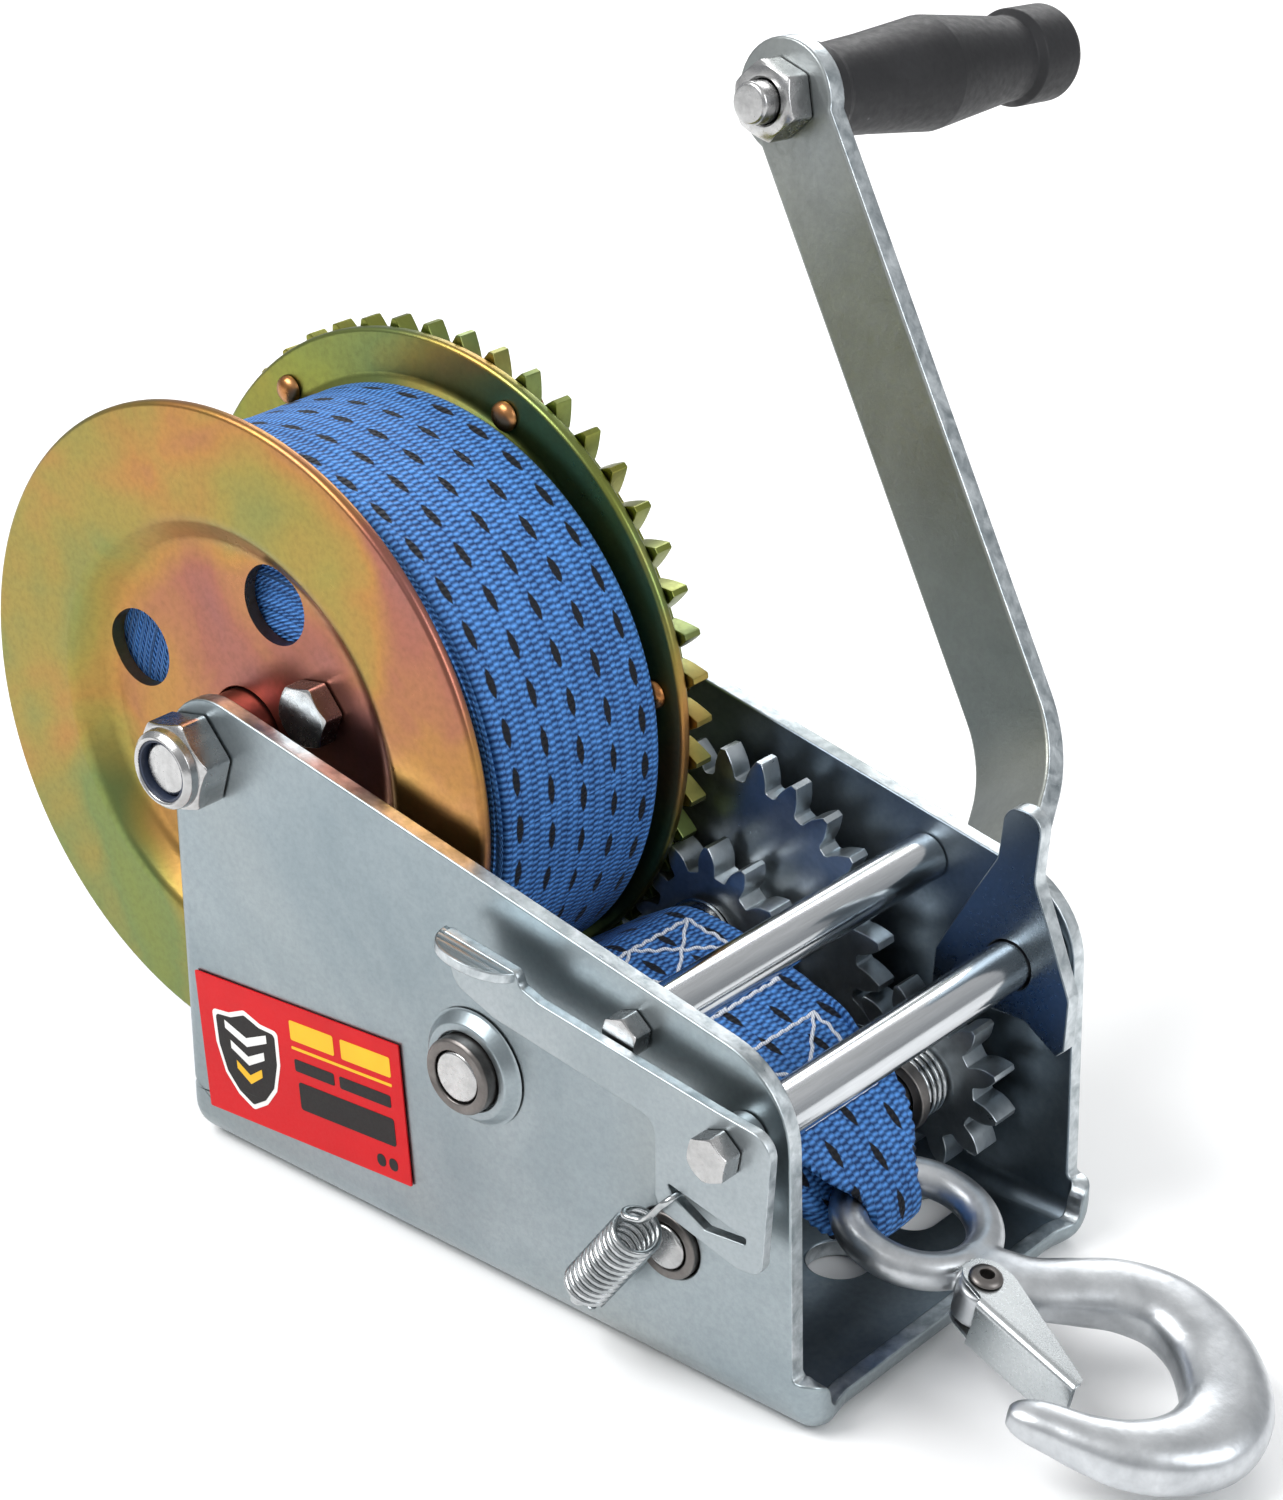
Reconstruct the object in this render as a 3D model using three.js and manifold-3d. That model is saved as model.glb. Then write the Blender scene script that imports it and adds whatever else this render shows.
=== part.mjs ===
// Boat trailer hand winch with a geared strap drum, a crank and a snap hook.
// Millimetres. +X runs towards the hook, +Y towards the crank side, +Z up.
// The origin is on the underside of the base, midway along it.
import * as THREE from "three";
import { mergeVertices } from "three/addons/utils/BufferGeometryUtils.js";
import Module from "manifold-3d";

const wasm = await Module();
wasm.setup();
const { Manifold, CrossSection } = wasm;

// ---- frame
const SHEET = 4; // sheet thickness of the frame
const HALF_W = 49.5; // outside of each side plate
const BEND_R = 9; // outside radius of the two long bends
const BASE_X = 87.7; // ends of the flat base, front and rear
const EAR_X = 89.4; // ends of the ears above the two bends
const EAR_Z = 13.6;
const PLATE_X0 = -86.6;
const PLATE_X1 = 84;
const TOP_Z = 79.6; // height of the top edge line at the front edge
const TOP_SLOPE = 0.21; // rise of the top edge per mm rearwards
const INNER = HALF_W - SHEET;

// ---- gear train, module 3, pressure angle 25 degrees
const MODULE = 3;
const PRESSURE = (25 * Math.PI) / 180;
const N_DRUM = 49;
const N_SMALL = 12; // pinion beside the drum gear
const N_MIDDLE = 25; // large gear on the middle shaft
const N_CRANK = 12; // pinion on the crank shaft
const BACKLASH = 0.55;
const DRUM = [-78.2, 98.2]; // x, z of the drum axis
const DIR_A = (-29.9 * Math.PI) / 180; // drum axis to middle shaft
const DIR_B = (-21.5 * Math.PI) / 180; // middle shaft to crank shaft
const DIST_A = (MODULE * (N_DRUM + N_SMALL)) / 2;
const DIST_B = (MODULE * (N_MIDDLE + N_CRANK)) / 2;
const SHAFT_A = [DRUM[0] + DIST_A * Math.cos(DIR_A), DRUM[1] + DIST_A * Math.sin(DIR_A)];
const SHAFT_B = [SHAFT_A[0] + DIST_B * Math.cos(DIR_B), SHAFT_A[1] + DIST_B * Math.sin(DIR_B)];
const DRUM_PHASE = 32.2;
const MIDDLE_PHASE = 66.9;

// ---- drum
const FLANGE_R = 75;
const NEAR_RIM = [-41.2, -38.2]; // y range of the near rim
const NEAR_DISH = [-35.2, -32.2];
const FAR_RIM = [21, 24];
const FAR_DISH = [18.5, 21.5];
const ROLL_Y = [-31.9, 18.2];
const ROLL_R = 67.5;
const ROLL_OFF = [4, -3];
const SLEEVE_R = 10;
const GEAR_Y = [24.4, 29.4];
const RIVET_R = 67.4;

// ---- cross tubes and lever
const TUBE_REAR = [44, 77.8];
const TUBE_FRONT = [72.5, 65.8];
const TUBE_R = 5.4;
const CROSS_BOLT_R = 2.5;
const LEVER_Y = [-57.6, -55.1];

// ---- crank
const ARM_LEAN = 31.15; // degrees from upright, towards the rear
const ARM_W = 23;
const ARM_T = 5.5;
const ARM_FACE = 53.6; // inner face at the shaft
const ARM_BEND = [49.1, 103.5]; // along the arm, y of the inner face
const ARM_PIN = [207.8, 117.5];
const GRIP_LEN = 93;

// ---- strap and hook
const STRAP_T = 1.8;
const EYE = [81.5, -6, 27.6]; // centre of the hook eye
const HOOK_PITCH = 13.2; // nose down, degrees
const LATCH_PIN = [22, -8.2]; // in the hook's own plane

const STEEL = new THREE.MeshStandardMaterial({ color: 0xaebbc4, metalness: 0.9, roughness: 0.35 });
const DARK = new THREE.MeshStandardMaterial({ color: 0x6f7f8b, metalness: 0.9, roughness: 0.4 });
const GOLD = new THREE.MeshStandardMaterial({ color: 0xb9a24b, metalness: 0.8, roughness: 0.35 });
const BRIGHT = new THREE.MeshStandardMaterial({ color: 0xc9ced2, metalness: 1, roughness: 0.25 });
const COPPER = new THREE.MeshStandardMaterial({ color: 0xb8733c, metalness: 0.9, roughness: 0.4 });
const BLUE = new THREE.MeshStandardMaterial({ color: 0x2f63ad, roughness: 0.8 });
const BLACK = new THREE.MeshStandardMaterial({ color: 0x1c1c1e, roughness: 0.6 });
const RED = new THREE.MeshStandardMaterial({ color: 0xc8141c, roughness: 0.5 });

const winch = new THREE.Group();
const rad = (d) => (d * Math.PI) / 180;

function put(name, solid, material) {
  const m = solid.getMesh();
  const n = m.numProp;
  const pos = new Float32Array(m.numVert * 3);
  for (let i = 0; i < m.numVert; i++)
    pos.set(m.vertProperties.subarray(i * n, i * n + 3), i * 3);
  const g = new THREE.BufferGeometry();
  g.setAttribute("position", new THREE.BufferAttribute(pos, 3));
  g.setIndex(new THREE.BufferAttribute(new Uint32Array(m.triVerts), 1));
  const mesh = new THREE.Mesh(g, material);
  mesh.name = name;
  winch.add(mesh);
}

function solidOf(geometry) {
  const bare = new THREE.BufferGeometry();
  const flat = geometry.index ? geometry.toNonIndexed() : geometry;
  bare.setAttribute("position", flat.getAttribute("position"));
  const g = mergeVertices(bare, 1e-4);
  return new Manifold(
    new wasm.Mesh({
      numProp: 3,
      vertProperties: new Float32Array(g.attributes.position.array),
      triVerts: new Uint32Array(g.index.array),
    }),
  );
}

// A flat outline in x and z, thick in y.
function plate(points, y0, y1) {
  let area = 0;
  points.forEach((p, i) => {
    const q = points[(i + 1) % points.length];
    area += p[0] * q[1] - q[0] * p[1];
  });
  const pts = area < 0 ? [...points].reverse() : points;
  return new CrossSection([pts]).extrude(y1 - y0).rotate([90, 0, 0]).translate([0, y1, 0]);
}

// A round bar along y at x, z.
function rod(at, r, y0, y1, segments = 32) {
  return Manifold.cylinder(y1 - y0, r, r, segments)
    .rotate([90, 0, 0])
    .translate([at[0], y1, at[1]]);
}

// A ring turned from a half profile of [radius, y] pairs round the axis at x, z.
function turned(at, profile, segments = 36) {
  const g = new THREE.LatheGeometry(
    [...profile, profile[0]].map(([r, y]) => new THREE.Vector2(r, y)),
    segments,
  );
  let s = solidOf(g);
  if (s.volume() < 0) s = turnOver(s);
  return s.translate([at[0], 0, at[1]]);
}

function turnOver(s) {
  const m = s.getMesh();
  const t = new Uint32Array(m.triVerts);
  for (let i = 0; i < t.length; i += 3) [t[i + 1], t[i + 2]] = [t[i + 2], t[i + 1]];
  return new Manifold(new wasm.Mesh({ numProp: m.numProp, vertProperties: m.vertProperties, triVerts: t }));
}

function tube(at, rOut, rIn, y0, y1, segments = 24) {
  return rod(at, rOut, y0, y1, segments).subtract(rod(at, rIn, y0 - 1, y1 + 1, segments));
}

function hex(at, flats, y0, y1, turn = 0) {
  const r = flats / Math.sqrt(3);
  const pts = [];
  for (let i = 0; i < 6; i++) {
    const a = rad(turn + 60 * i);
    pts.push([at[0] + r * Math.cos(a), at[1] + r * Math.sin(a)]);
  }
  const body = plate(pts, y0, y1);
  const c = flats * 0.09;
  const h = y1 - y0;
  const cone = Manifold.cylinder(h, r - c * 0.1 + h - c, r - c * 1.1, 18);
  const cap = cone.rotate([90, 0, 0]).translate([at[0], y1, at[1]]);
  return body.intersect(cap);
}

// A hex head or nut whose outer face points towards -Y.
function hexNear(at, flats, y0, y1, turn = 0) {
  return hex([at[0], at[1]], flats, -y1, -y0, turn).mirror([0, 1, 0]);
}

// A bar of round section along a list of points, closed at both ends.
function wire(points, r, sides = 6) {
  const P = points.map((p) => new THREE.Vector3(...p));
  const pos = [];
  const idx = [];
  let normal = null;
  P.forEach((p, i) => {
    const a = P[Math.max(i - 1, 0)];
    const b = P[Math.min(i + 1, P.length - 1)];
    const t = b.clone().sub(a).normalize();
    if (!normal) normal = Math.abs(t.z) < 0.9 ? new THREE.Vector3(0, 0, 1) : new THREE.Vector3(1, 0, 0);
    normal = normal.clone().sub(t.clone().multiplyScalar(normal.dot(t))).normalize();
    const bi = t.clone().cross(normal);
    for (let k = 0; k < sides; k++) {
      const w = (2 * Math.PI * k) / sides;
      const v = p.clone();
      v.addScaledVector(normal, r * Math.cos(w)).addScaledVector(bi, r * Math.sin(w));
      pos.push(v.x, v.y, v.z);
    }
  });
  for (let i = 0; i + 1 < P.length; i++)
    for (let k = 0; k < sides; k++) {
      const a = i * sides + k;
      const b = i * sides + ((k + 1) % sides);
      idx.push(a, b, a + sides, b, b + sides, a + sides);
    }
  const last = (P.length - 1) * sides;
  for (let k = 1; k + 1 < sides; k++) {
    idx.push(0, k + 1, k);
    idx.push(last, last + k, last + k + 1);
  }
  const mesh = new wasm.Mesh({
    numProp: 3,
    vertProperties: new Float32Array(pos),
    triVerts: new Uint32Array(idx),
  });
  const s = new Manifold(mesh);
  return s.volume() < 0 ? turnOver(s) : s;
}

// One oval section per station, joined into a closed body. A station is
// { at, across, up, w, h }: centre, unit direction of the width, of the height, and both sizes.
function loft(stations, sides = 12, power = 1) {
  const pos = [];
  const idx = [];
  const bend = (v) => Math.sign(v) * Math.abs(v) ** power;
  stations.forEach((s) => {
    for (let k = 0; k < sides; k++) {
      const a = (2 * Math.PI * (k + 0.5)) / sides;
      const c = (bend(Math.cos(a)) * s.w) / 2;
      const d = (bend(Math.sin(a)) * s.h) / 2;
      for (let j = 0; j < 3; j++) pos.push(s.at[j] + s.across[j] * c + s.up[j] * d);
    }
  });
  for (let i = 0; i + 1 < stations.length; i++)
    for (let k = 0; k < sides; k++) {
      const a = i * sides + k;
      const b = i * sides + ((k + 1) % sides);
      idx.push(a, b, a + sides, b, b + sides, a + sides);
    }
  const last = (stations.length - 1) * sides;
  for (let k = 1; k + 1 < sides; k++) {
    idx.push(0, k + 1, k);
    idx.push(last, last + k, last + k + 1);
  }
  const s = new Manifold(
    new wasm.Mesh({ numProp: 3, vertProperties: new Float32Array(pos), triVerts: new Uint32Array(idx) }),
  );
  return s.volume() < 0 ? turnOver(s) : s;
}

// Rounds chosen corners of an outline: each point is [x, z] or [x, z, radius].
function rounded(points, steps = 5) {
  const out = [];
  points.forEach((p, i) => {
    if (!p[2]) {
      out.push([p[0], p[1]]);
      return;
    }
    const a = points[(i + points.length - 1) % points.length];
    const b = points[(i + 1) % points.length];
    const u = new THREE.Vector2(a[0] - p[0], a[1] - p[1]).normalize();
    const v = new THREE.Vector2(b[0] - p[0], b[1] - p[1]).normalize();
    const half = Math.acos(Math.min(1, Math.max(-1, u.dot(v)))) / 2;
    const d = p[2] / Math.tan(half);
    const s = new THREE.Vector2(p[0], p[1]).addScaledVector(u, d);
    const e = new THREE.Vector2(p[0], p[1]).addScaledVector(v, d);
    const c = new THREE.Vector2(p[0], p[1]);
    c.addScaledVector(u.clone().add(v).normalize(), p[2] / Math.sin(half));
    const a0 = Math.atan2(s.y - c.y, s.x - c.x);
    let da = Math.atan2(e.y - c.y, e.x - c.x) - a0;
    if (da > Math.PI) da -= 2 * Math.PI;
    if (da < -Math.PI) da += 2 * Math.PI;
    for (let k = 0; k <= steps; k++) {
      const w = a0 + (da * k) / steps;
      out.push([c.x + p[2] * Math.cos(w), c.y + p[2] * Math.sin(w)]);
    }
  });
  return out;
}

// ---- frame -----------------------------------------------------------------
const topAt = (x) => TOP_Z + TOP_SLOPE * (PLATE_X1 - x);

function sideOutline() {
  return rounded(
    [
      [PLATE_X0, 6],
      [PLATE_X0 - 0.5, topAt(PLATE_X0), 14],
      [PLATE_X1 - 2, topAt(PLATE_X1 - 2), 20],
      [PLATE_X1, 6],
    ],
    7,
  );
}

function channelOutline(top) {
  const w = HALF_W;
  const r = BEND_R;
  const n = 4;
  const pts = [];
  for (let i = 0; i <= n; i++) {
    const a = rad(270 + (90 * i) / n);
    pts.push([w - r + r * Math.cos(a), r + r * Math.sin(a)]);
  }
  pts.push([w, top], [w - SHEET, top]);
  for (let i = n; i >= 0; i--) {
    const a = rad(270 + (90 * i) / n);
    pts.push([w - r + (r - SHEET) * Math.cos(a), r + (r - SHEET) * Math.sin(a)]);
  }
  const left = pts.map(([y, z]) => [-y, z]).reverse();
  return [...pts, ...left];
}

function slot(x, y, length, width) {
  const end = Manifold.cylinder(SHEET + 4, width / 2, width / 2, 20);
  const d = (length - width) / 2;
  return Manifold.hull([end.translate([x, y - d, -2]), end.translate([x, y + d, -2])]);
}

// The base with its two bends and a small ear at each corner.
function baseStrip() {
  const x = EAR_X;
  let body = new CrossSection([channelOutline(EAR_Z)]).extrude(2 * x).rotate([90, 0, 90]).translate([-x, 0, 0]);
  const w = HALF_W + 2;
  for (const dir of [1, -1]) {
    const cut = (pts, y0, y1) => plate(pts.map(([px, pz]) => [dir * px, pz]), y0, y1);
    body = body.subtract(cut([[BASE_X, -2], [BASE_X, 20], [x + 4, 20], [x + 4, -2]], -38, 38));
    const low = [[85.2, -2], [87.9, 4], [89.1, 8], [x + 4, 8.2], [x + 4, -2]];
    body = body.subtract(cut(low, -w, -37.8)).subtract(cut(low, 37.8, w));
    const r = 4.6;
    const top = [[x + 2, EAR_Z - r], [x + 2, EAR_Z + 2], [x - r, EAR_Z + 2]];
    for (let i = 0; i <= 5; i++) {
      const a = rad(90 - 18 * i);
      top.push([x - r + r * Math.cos(a), EAR_Z - r + r * Math.sin(a)]);
    }
    body = body.subtract(cut(top, -w, w));
  }
  return body;
}

function boss(at) {
  // pressed cone round the middle shaft's near bush
  const w = HALF_W;
  return turned(at, [[8.8, 1 - w], [12.6, 1 - w], [12.4, -w], [10.2, -w - 3], [8.8, -w - 3]], 28);
}

function frame() {
  let body = baseStrip();
  body = body.add(plate(sideOutline(), -HALF_W, -INNER)).add(plate(sideOutline(), INNER, HALF_W));
  body = body.subtract(rod(SHAFT_A, 8.8, -60, 60, 28));
  body = body.add(boss(SHAFT_A)).add(boss(SHAFT_A).mirror([0, 1, 0]));
  body = body.subtract(rod(SHAFT_B, 7.8, -60, 60, 24));
  for (const at of [DRUM]) body = body.subtract(rod(at, 6.3, -60, 60, 20));
  for (const at of [TUBE_REAR, TUBE_FRONT]) body = body.subtract(rod(at, CROSS_BOLT_R + 0.3, -60, 60, 16));
  body = body.subtract(rod([31.2, 8.9], 2, -60, -40, 12));
  for (const x of [59, -62]) {
    body = body.subtract(slot(x, 29, 20, 11)).subtract(slot(x, -29, 20, 11));
    body = body.subtract(slot(x - 2, 1, 14.01, 14));
  }
  return body;
}

// ---- gears -----------------------------------------------------------------
function gearOutline(n, phase, addendum) {
  const rp = (MODULE * n) / 2;
  const rb = rp * Math.cos(PRESSURE);
  const ra = rp + addendum * MODULE;
  const rf = rp - 1.25 * MODULE;
  const inv = Math.tan(PRESSURE) - PRESSURE;
  const half = Math.PI / (2 * n) - BACKLASH / 2 / rp;
  const width = (r) => {
    if (r <= rb) return half + inv;
    const a = Math.acos(rb / r);
    return half + inv - (Math.tan(a) - a);
  };
  const pts = [];
  const at = (r, w) => pts.push([r * Math.cos(w), r * Math.sin(w)]);
  for (let i = 0; i < n; i++) {
    const c = rad(phase) + (2 * Math.PI * i) / n;
    const foot = Math.min(width(rb) + 0.1 / n, Math.PI / n - 0.02);
    const rs = rb > rf + 0.4 ? [rb, rp, ra] : [rp, ra];
    at(rf, c - foot - 0.25 / n);
    for (const r of rs) at(r, c - width(r));
    for (const r of rs.reverse()) at(r, c + width(r));
    at(rf, c + foot + 0.25 / n);
  }
  return pts;
}

function gear(at, n, phase, addendum, y0, y1) {
  const pts = gearOutline(n, phase, addendum).map(([x, z]) => [x + at[0], z + at[1]]);
  return plate(pts, y0, y1);
}

// Phase of the gear driven through the line `dir` (radians) so that its gap meets a tooth.
function meshPhase(n1, phase1, n2, dir) {
  const p1 = (n1 * ((dir * 180) / Math.PI - phase1)) / 360;
  const p2 = 0.5 - p1;
  return (dir * 180) / Math.PI + 180 - (p2 * 360) / n2;
}

function drumGear() {
  let g = gear(DRUM, N_DRUM, DRUM_PHASE, 0.95, ...GEAR_Y).subtract(rod(DRUM, SLEEVE_R + 0.5, 0, 60, 40));
  g = g.subtract(rod(ANCHOR, 9, 0, 60, 28)); // room for the nut of the strap bolt
  for (const at of rivetPlaces()) g = g.subtract(rod(at, 2.6, 0, 60, 10));
  return g;
}

function rivetPlaces() {
  const out = [];
  for (let i = 0; i < 6; i++) {
    const a = rad(68 + 60 * i);
    out.push([DRUM[0] + RIVET_R * Math.cos(a), DRUM[1] + RIVET_R * Math.sin(a)]);
  }
  return out;
}

const ANCHOR = [DRUM[0] + 26 * Math.cos(rad(28.5)), DRUM[1] + 26 * Math.sin(rad(28.5))];

// ---- drum ------------------------------------------------------------------
function nearFlange() {
  const [a, b] = NEAR_RIM;
  const [c, d] = NEAR_DISH;
  const rr = FLANGE_R;
  let f = turned(
    DRUM,
    [
      [SLEEVE_R + 0.5, c], [43, c], [50, a], [rr, a],
      [rr, b], [51, b], [44, d], [SLEEVE_R + 0.5, d],
    ],
    60,
  );
  for (let i = 0; i < 4; i++) {
    const w = rad(72 + 90 * i);
    f = f.subtract(rod([DRUM[0] + 34.5 * Math.cos(w), DRUM[1] + 34.5 * Math.sin(w)], 9, -60, 0, 24));
  }
  return f.subtract(rod(ANCHOR, 4.3, -60, 0, 20));
}

function farFlange() {
  const [a, b] = FAR_RIM;
  const [c, d] = FAR_DISH;
  const rr = FLANGE_R;
  let f = turned(
    DRUM,
    [
      [SLEEVE_R + 0.5, c], [60, c], [64.5, a], [rr, a],
      [rr, b], [63.5, b], [59, d], [SLEEVE_R + 0.5, d],
    ],
    60,
  );
  for (const at of rivetPlaces()) f = f.subtract(rod(at, 2.6, 0, 60, 10));
  return f.subtract(rod(ANCHOR, 4.3, 0, 60, 20));
}

function gearRivet(at) {
  return turned(
    at,
    [
      [0, 18.7], [2.4, 19.1], [3.4, 20.7], [2.2, 20.7], [2.2, 29.7],
      [2.9, 29.7], [2.2, 30.8], [0, 31.1],
    ],
    10,
  );
}

function strapRoll() {
  const c = [DRUM[0] + ROLL_OFF[0], DRUM[1] + ROLL_OFF[1]];
  const r = ROLL_R;
  const [a, b] = ROLL_Y;
  const body = turned(c, [[0, a], [r - 1.2, a], [r, a + 1.2], [r, b - 1.2], [r - 1.2, b], [0, b]], 56);
  const core = Manifold.hull([rod(DRUM, 16.5, -60, 60, 40), rod(ANCHOR, 5, -60, 60, 20)]);
  return body.subtract(core);
}

// ---- small fastenings --------------------------------------------------------
function axleBolt() {
  const shank = rod(DRUM, 6, -58.6, 50.2, 28);
  return shank.add(hex(DRUM, 19, 50, 57.6, 12));
}

function axleNut() {
  const body = hexNear(DRUM, 19, -57.6, -49.9, 12);
  const collar = turned(DRUM, [[6.3, -58], [6.3, -60.4], [7.4, -60.6], [8.6, -59.2], [8.9, -57], [6.3, -57]], 24);
  return body.add(collar).subtract(rod(DRUM, 6.3, -62, -40, 28));
}

function anchorBolt() {
  return hexNear(ANCHOR, 13, -40.9, -35.6, 10).add(rod(ANCHOR, 4, -36, 29.2, 20));
}

function anchorNut() {
  return hex(ANCHOR, 13, 21.9, 28.2, 10).subtract(rod(ANCHOR, 4.3, 0, 60, 20));
}

function crossBolt(at, y0, head, flats) {
  return rod(at, CROSS_BOLT_R, y0 + 1, 58.4, 20).add(hexNear(at, flats, y0, y0 + head, 20));
}

function crossNut(at, flats) {
  return hex(at, flats, 49.9, 55.4, 8).subtract(rod(at, CROSS_BOLT_R + 0.3, 0, 70, 20));
}

// ---- middle shaft --------------------------------------------------------------
function middleShaft() {
  const body = rod(SHAFT_A, 7, -42.6, 42.6, 24).add(rod(SHAFT_A, 5.7, -55.4, 55.4, 24));
  return body.subtract(turned(SHAFT_A, [[6.4, 21.5], [9, 21.5], [9, 22.9], [6.4, 22.9]], 24));
}

function bush(at, bore, outer, yOut, flange) {
  // near-side bush, its flange inside the plate
  return turned(
    at,
    [[bore, yOut], [outer - 0.6, yOut], [outer, yOut + 0.6], [outer, -45.2], [flange, -45.2], [flange, -43], [bore, -43]],
    28,
  );
}

function middleGear() {
  const g = gear(SHAFT_A, N_MIDDLE, MIDDLE_PHASE, 0.85, 34, 39.6);
  const hub = rod(SHAFT_A, 11.5, 31.9, 42.4, 24);
  return g.add(hub).subtract(rod(SHAFT_A, 7.3, 0, 60, 24));
}

function smallPinion() {
  const phase = meshPhase(N_DRUM, DRUM_PHASE, N_SMALL, DIR_A);
  const g = gear(SHAFT_A, N_SMALL, phase, 0.9, 24.4, 31.6);
  return g.subtract(rod(SHAFT_A, 7.3, 0, 60, 24));
}

function snapRing() {
  const r = turned(SHAFT_A, [[6.7, 21.8], [8.9, 21.8], [8.9, 22.6], [6.7, 22.6]], 24);
  return r.subtract(Manifold.cube([5, 6, 20], true).translate([SHAFT_A[0], 22, SHAFT_A[1] - 9]));
}

// ---- crank shaft -----------------------------------------------------------------
function crankShaft() {
  let s = rod(SHAFT_B, 5, -51.5, -42.5, 28).add(rod(SHAFT_B, 6, -42.6, 53.3, 28));
  s = s.add(rod(SHAFT_B, 5, 53, 70.5, 28));
  return s.add(rod(SHAFT_B, 8.2, -42.6, -39.6, 28));
}

function crankBush(side) {
  const b = turned(
    SHAFT_B,
    side < 0
      ? [[5.3, -50.9], [7.5, -50.9], [7.5, -45.2], [9.6, -45.2], [9.6, -43], [5.3, -43]]
      : [[6.3, 50.9], [7.5, 50.9], [7.5, 45.2], [9.6, 45.2], [9.6, 43.2], [6.3, 43.2]],
    28,
  );
  return b;
}

function crankPinion() {
  const phase = meshPhase(N_MIDDLE, MIDDLE_PHASE, N_CRANK, DIR_B);
  const g = gear(SHAFT_B, N_CRANK, phase, 0.9, 33.4, 40.6);
  return g.add(rod(SHAFT_B, 10, 40.5, 42.8, 28)).subtract(rod(SHAFT_B, 6.3, 0, 60, 28));
}

function thrustSpring() {
  // short coil that holds the pinion against its bush
  const pts = [];
  const turns = 3.2;
  const n = 35;
  for (let i = 0; i <= n; i++) {
    const a = (2 * Math.PI * turns * i) / n;
    pts.push([SHAFT_B[0] + 7.7 * Math.cos(a), 26.6 + (5.9 * i) / n, SHAFT_B[1] + 7.7 * Math.sin(a)]);
  }
  return wire(pts, 0.65, 5);
}

function springCollar() {
  return tube(SHAFT_B, 9, 6.3, 22.6, 25.6, 28);
}

// ---- ratchet pawl ------------------------------------------------------------------
function pawl() {
  const [x, z] = TUBE_FRONT;
  const finger = 85;
  const tip = (turn) => {
    const a = rad(finger + 180 + turn);
    return [21.7 * Math.cos(a), 21.7 * Math.sin(a)];
  };
  const [lx, lz] = tip(-52);
  const [rx, rz] = tip(47);
  const pts = rounded([
    [-2.6, 36.4, 4.2],
    [6.8, 36.4, 4.2],
    [5.6, 21],
    [9.4, 12],
    [15.4, -3, 3],
    [rx + 0.4, rz + 1],
    [rx - 1.6, rz - 1],
    [4.6, -11.6],
    [-4.4, -11.8],
    [lx + 3.4, lz + 0.2],
    [lx + 0.4, lz - 0.6],
    [lx - 0.8, lz + 1],
    [-18.4, -2.4, 3],
    [-10.6, 12],
    [-3.8, 24],
  ]).map(([a, b]) => [a + x, b + z]);
  return plate(pts, 35.6, 39.6).subtract(rod(TUBE_FRONT, TUBE_R + 0.35, 0, 60, 32));
}

function pawlCollar() {
  return tube(TUBE_FRONT, 8.6, TUBE_R + 0.3, 39.9, 45.2, 28);
}

// ---- lock lever and its spring -----------------------------------------------------
function lockLever() {
  const [y0, y1] = LEVER_Y;
  const outline = rounded([
    [20.4, 84.6, 2],
    [21.2, 82, 2],
    [26, 80.3, 3],
    [71, 73.8],
    [84.4, 72.3, 5],
    [82.4, 41.4, 3],
    [76.4, 40.9],
    [56, 46.4, 4],
    [55.8, 65.7, 4],
    [14, 72.4, 3],
    [3.6, 76.4, 5],
    [0.6, 87.6],
    [19.2, 85],
  ]);
  let body = plate(outline, y0, y1);
  // thumb tab, a half-moon bent outwards from the upper end
  const tab = [];
  for (let i = 0; i <= 10; i++) {
    const a = rad(180 + 18 * i);
    tab.push([9.4 + 10.6 * Math.cos(a), 9.2 * Math.sin(a)]);
  }
  const cs = new CrossSection([tab]).extrude(2.4);
  body = body.add(cs.rotate([0, 7.5, 0]).translate([0.3, y1, 85.2]));
  const window = plate([[58.8, 53], [78.6, 48.6], [78.4, 47.2], [68.4, 46.2], [60.4, 50.4]], -70, -40);
  return body.subtract(window).subtract(rod(TUBE_FRONT, CROSS_BOLT_R + 0.4, -70, -40, 24));
}

function leverSpacer() {
  return tube(TUBE_FRONT, 5, CROSS_BOLT_R + 0.3, -54.8, -49.8, 24);
}

function leverSpring() {
  const a = new THREE.Vector3(60.2, -60, 50);
  const b = new THREE.Vector3(32.4, -56, 12.4);
  const axis = b.clone().sub(a).normalize();
  const side = new THREE.Vector3(0, 1, 0).cross(axis).normalize();
  const up = axis.clone().cross(side);
  const coil0 = 12;
  const coil1 = 39;
  const turns = 12.5;
  const r = 4.6;
  const pts = [[57, -53.6, 48.4], [59.4, -53.6, 50], [61.2, -54.2, 51.2], [61.5, -56.4, 51.3], [61.3, -59, 51]];
  const point = (d, c, s) => {
    const p = a.clone().addScaledVector(axis, d).addScaledVector(side, c).addScaledVector(up, s);
    pts.push([p.x, p.y, p.z]);
  };
  point(1, 0, 0);
  point(8.4, 0.6, 0);
  const n = Math.round(turns * 8);
  for (let i = 0; i <= n; i++) {
    const w = (2 * Math.PI * turns * i) / n;
    point(coil0 + ((coil1 - coil0) * i) / n, r * Math.cos(w), r * Math.sin(w));
  }
  point(coil1 + 3.4, -0.6, 0);
  pts.push([33, -55.8, 13.4], [32, -53, 10.6], [31.2, -49, 8.9], [31.2, -44.4, 8.9]);
  return wire(pts, 0.75, 5);
}

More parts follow.
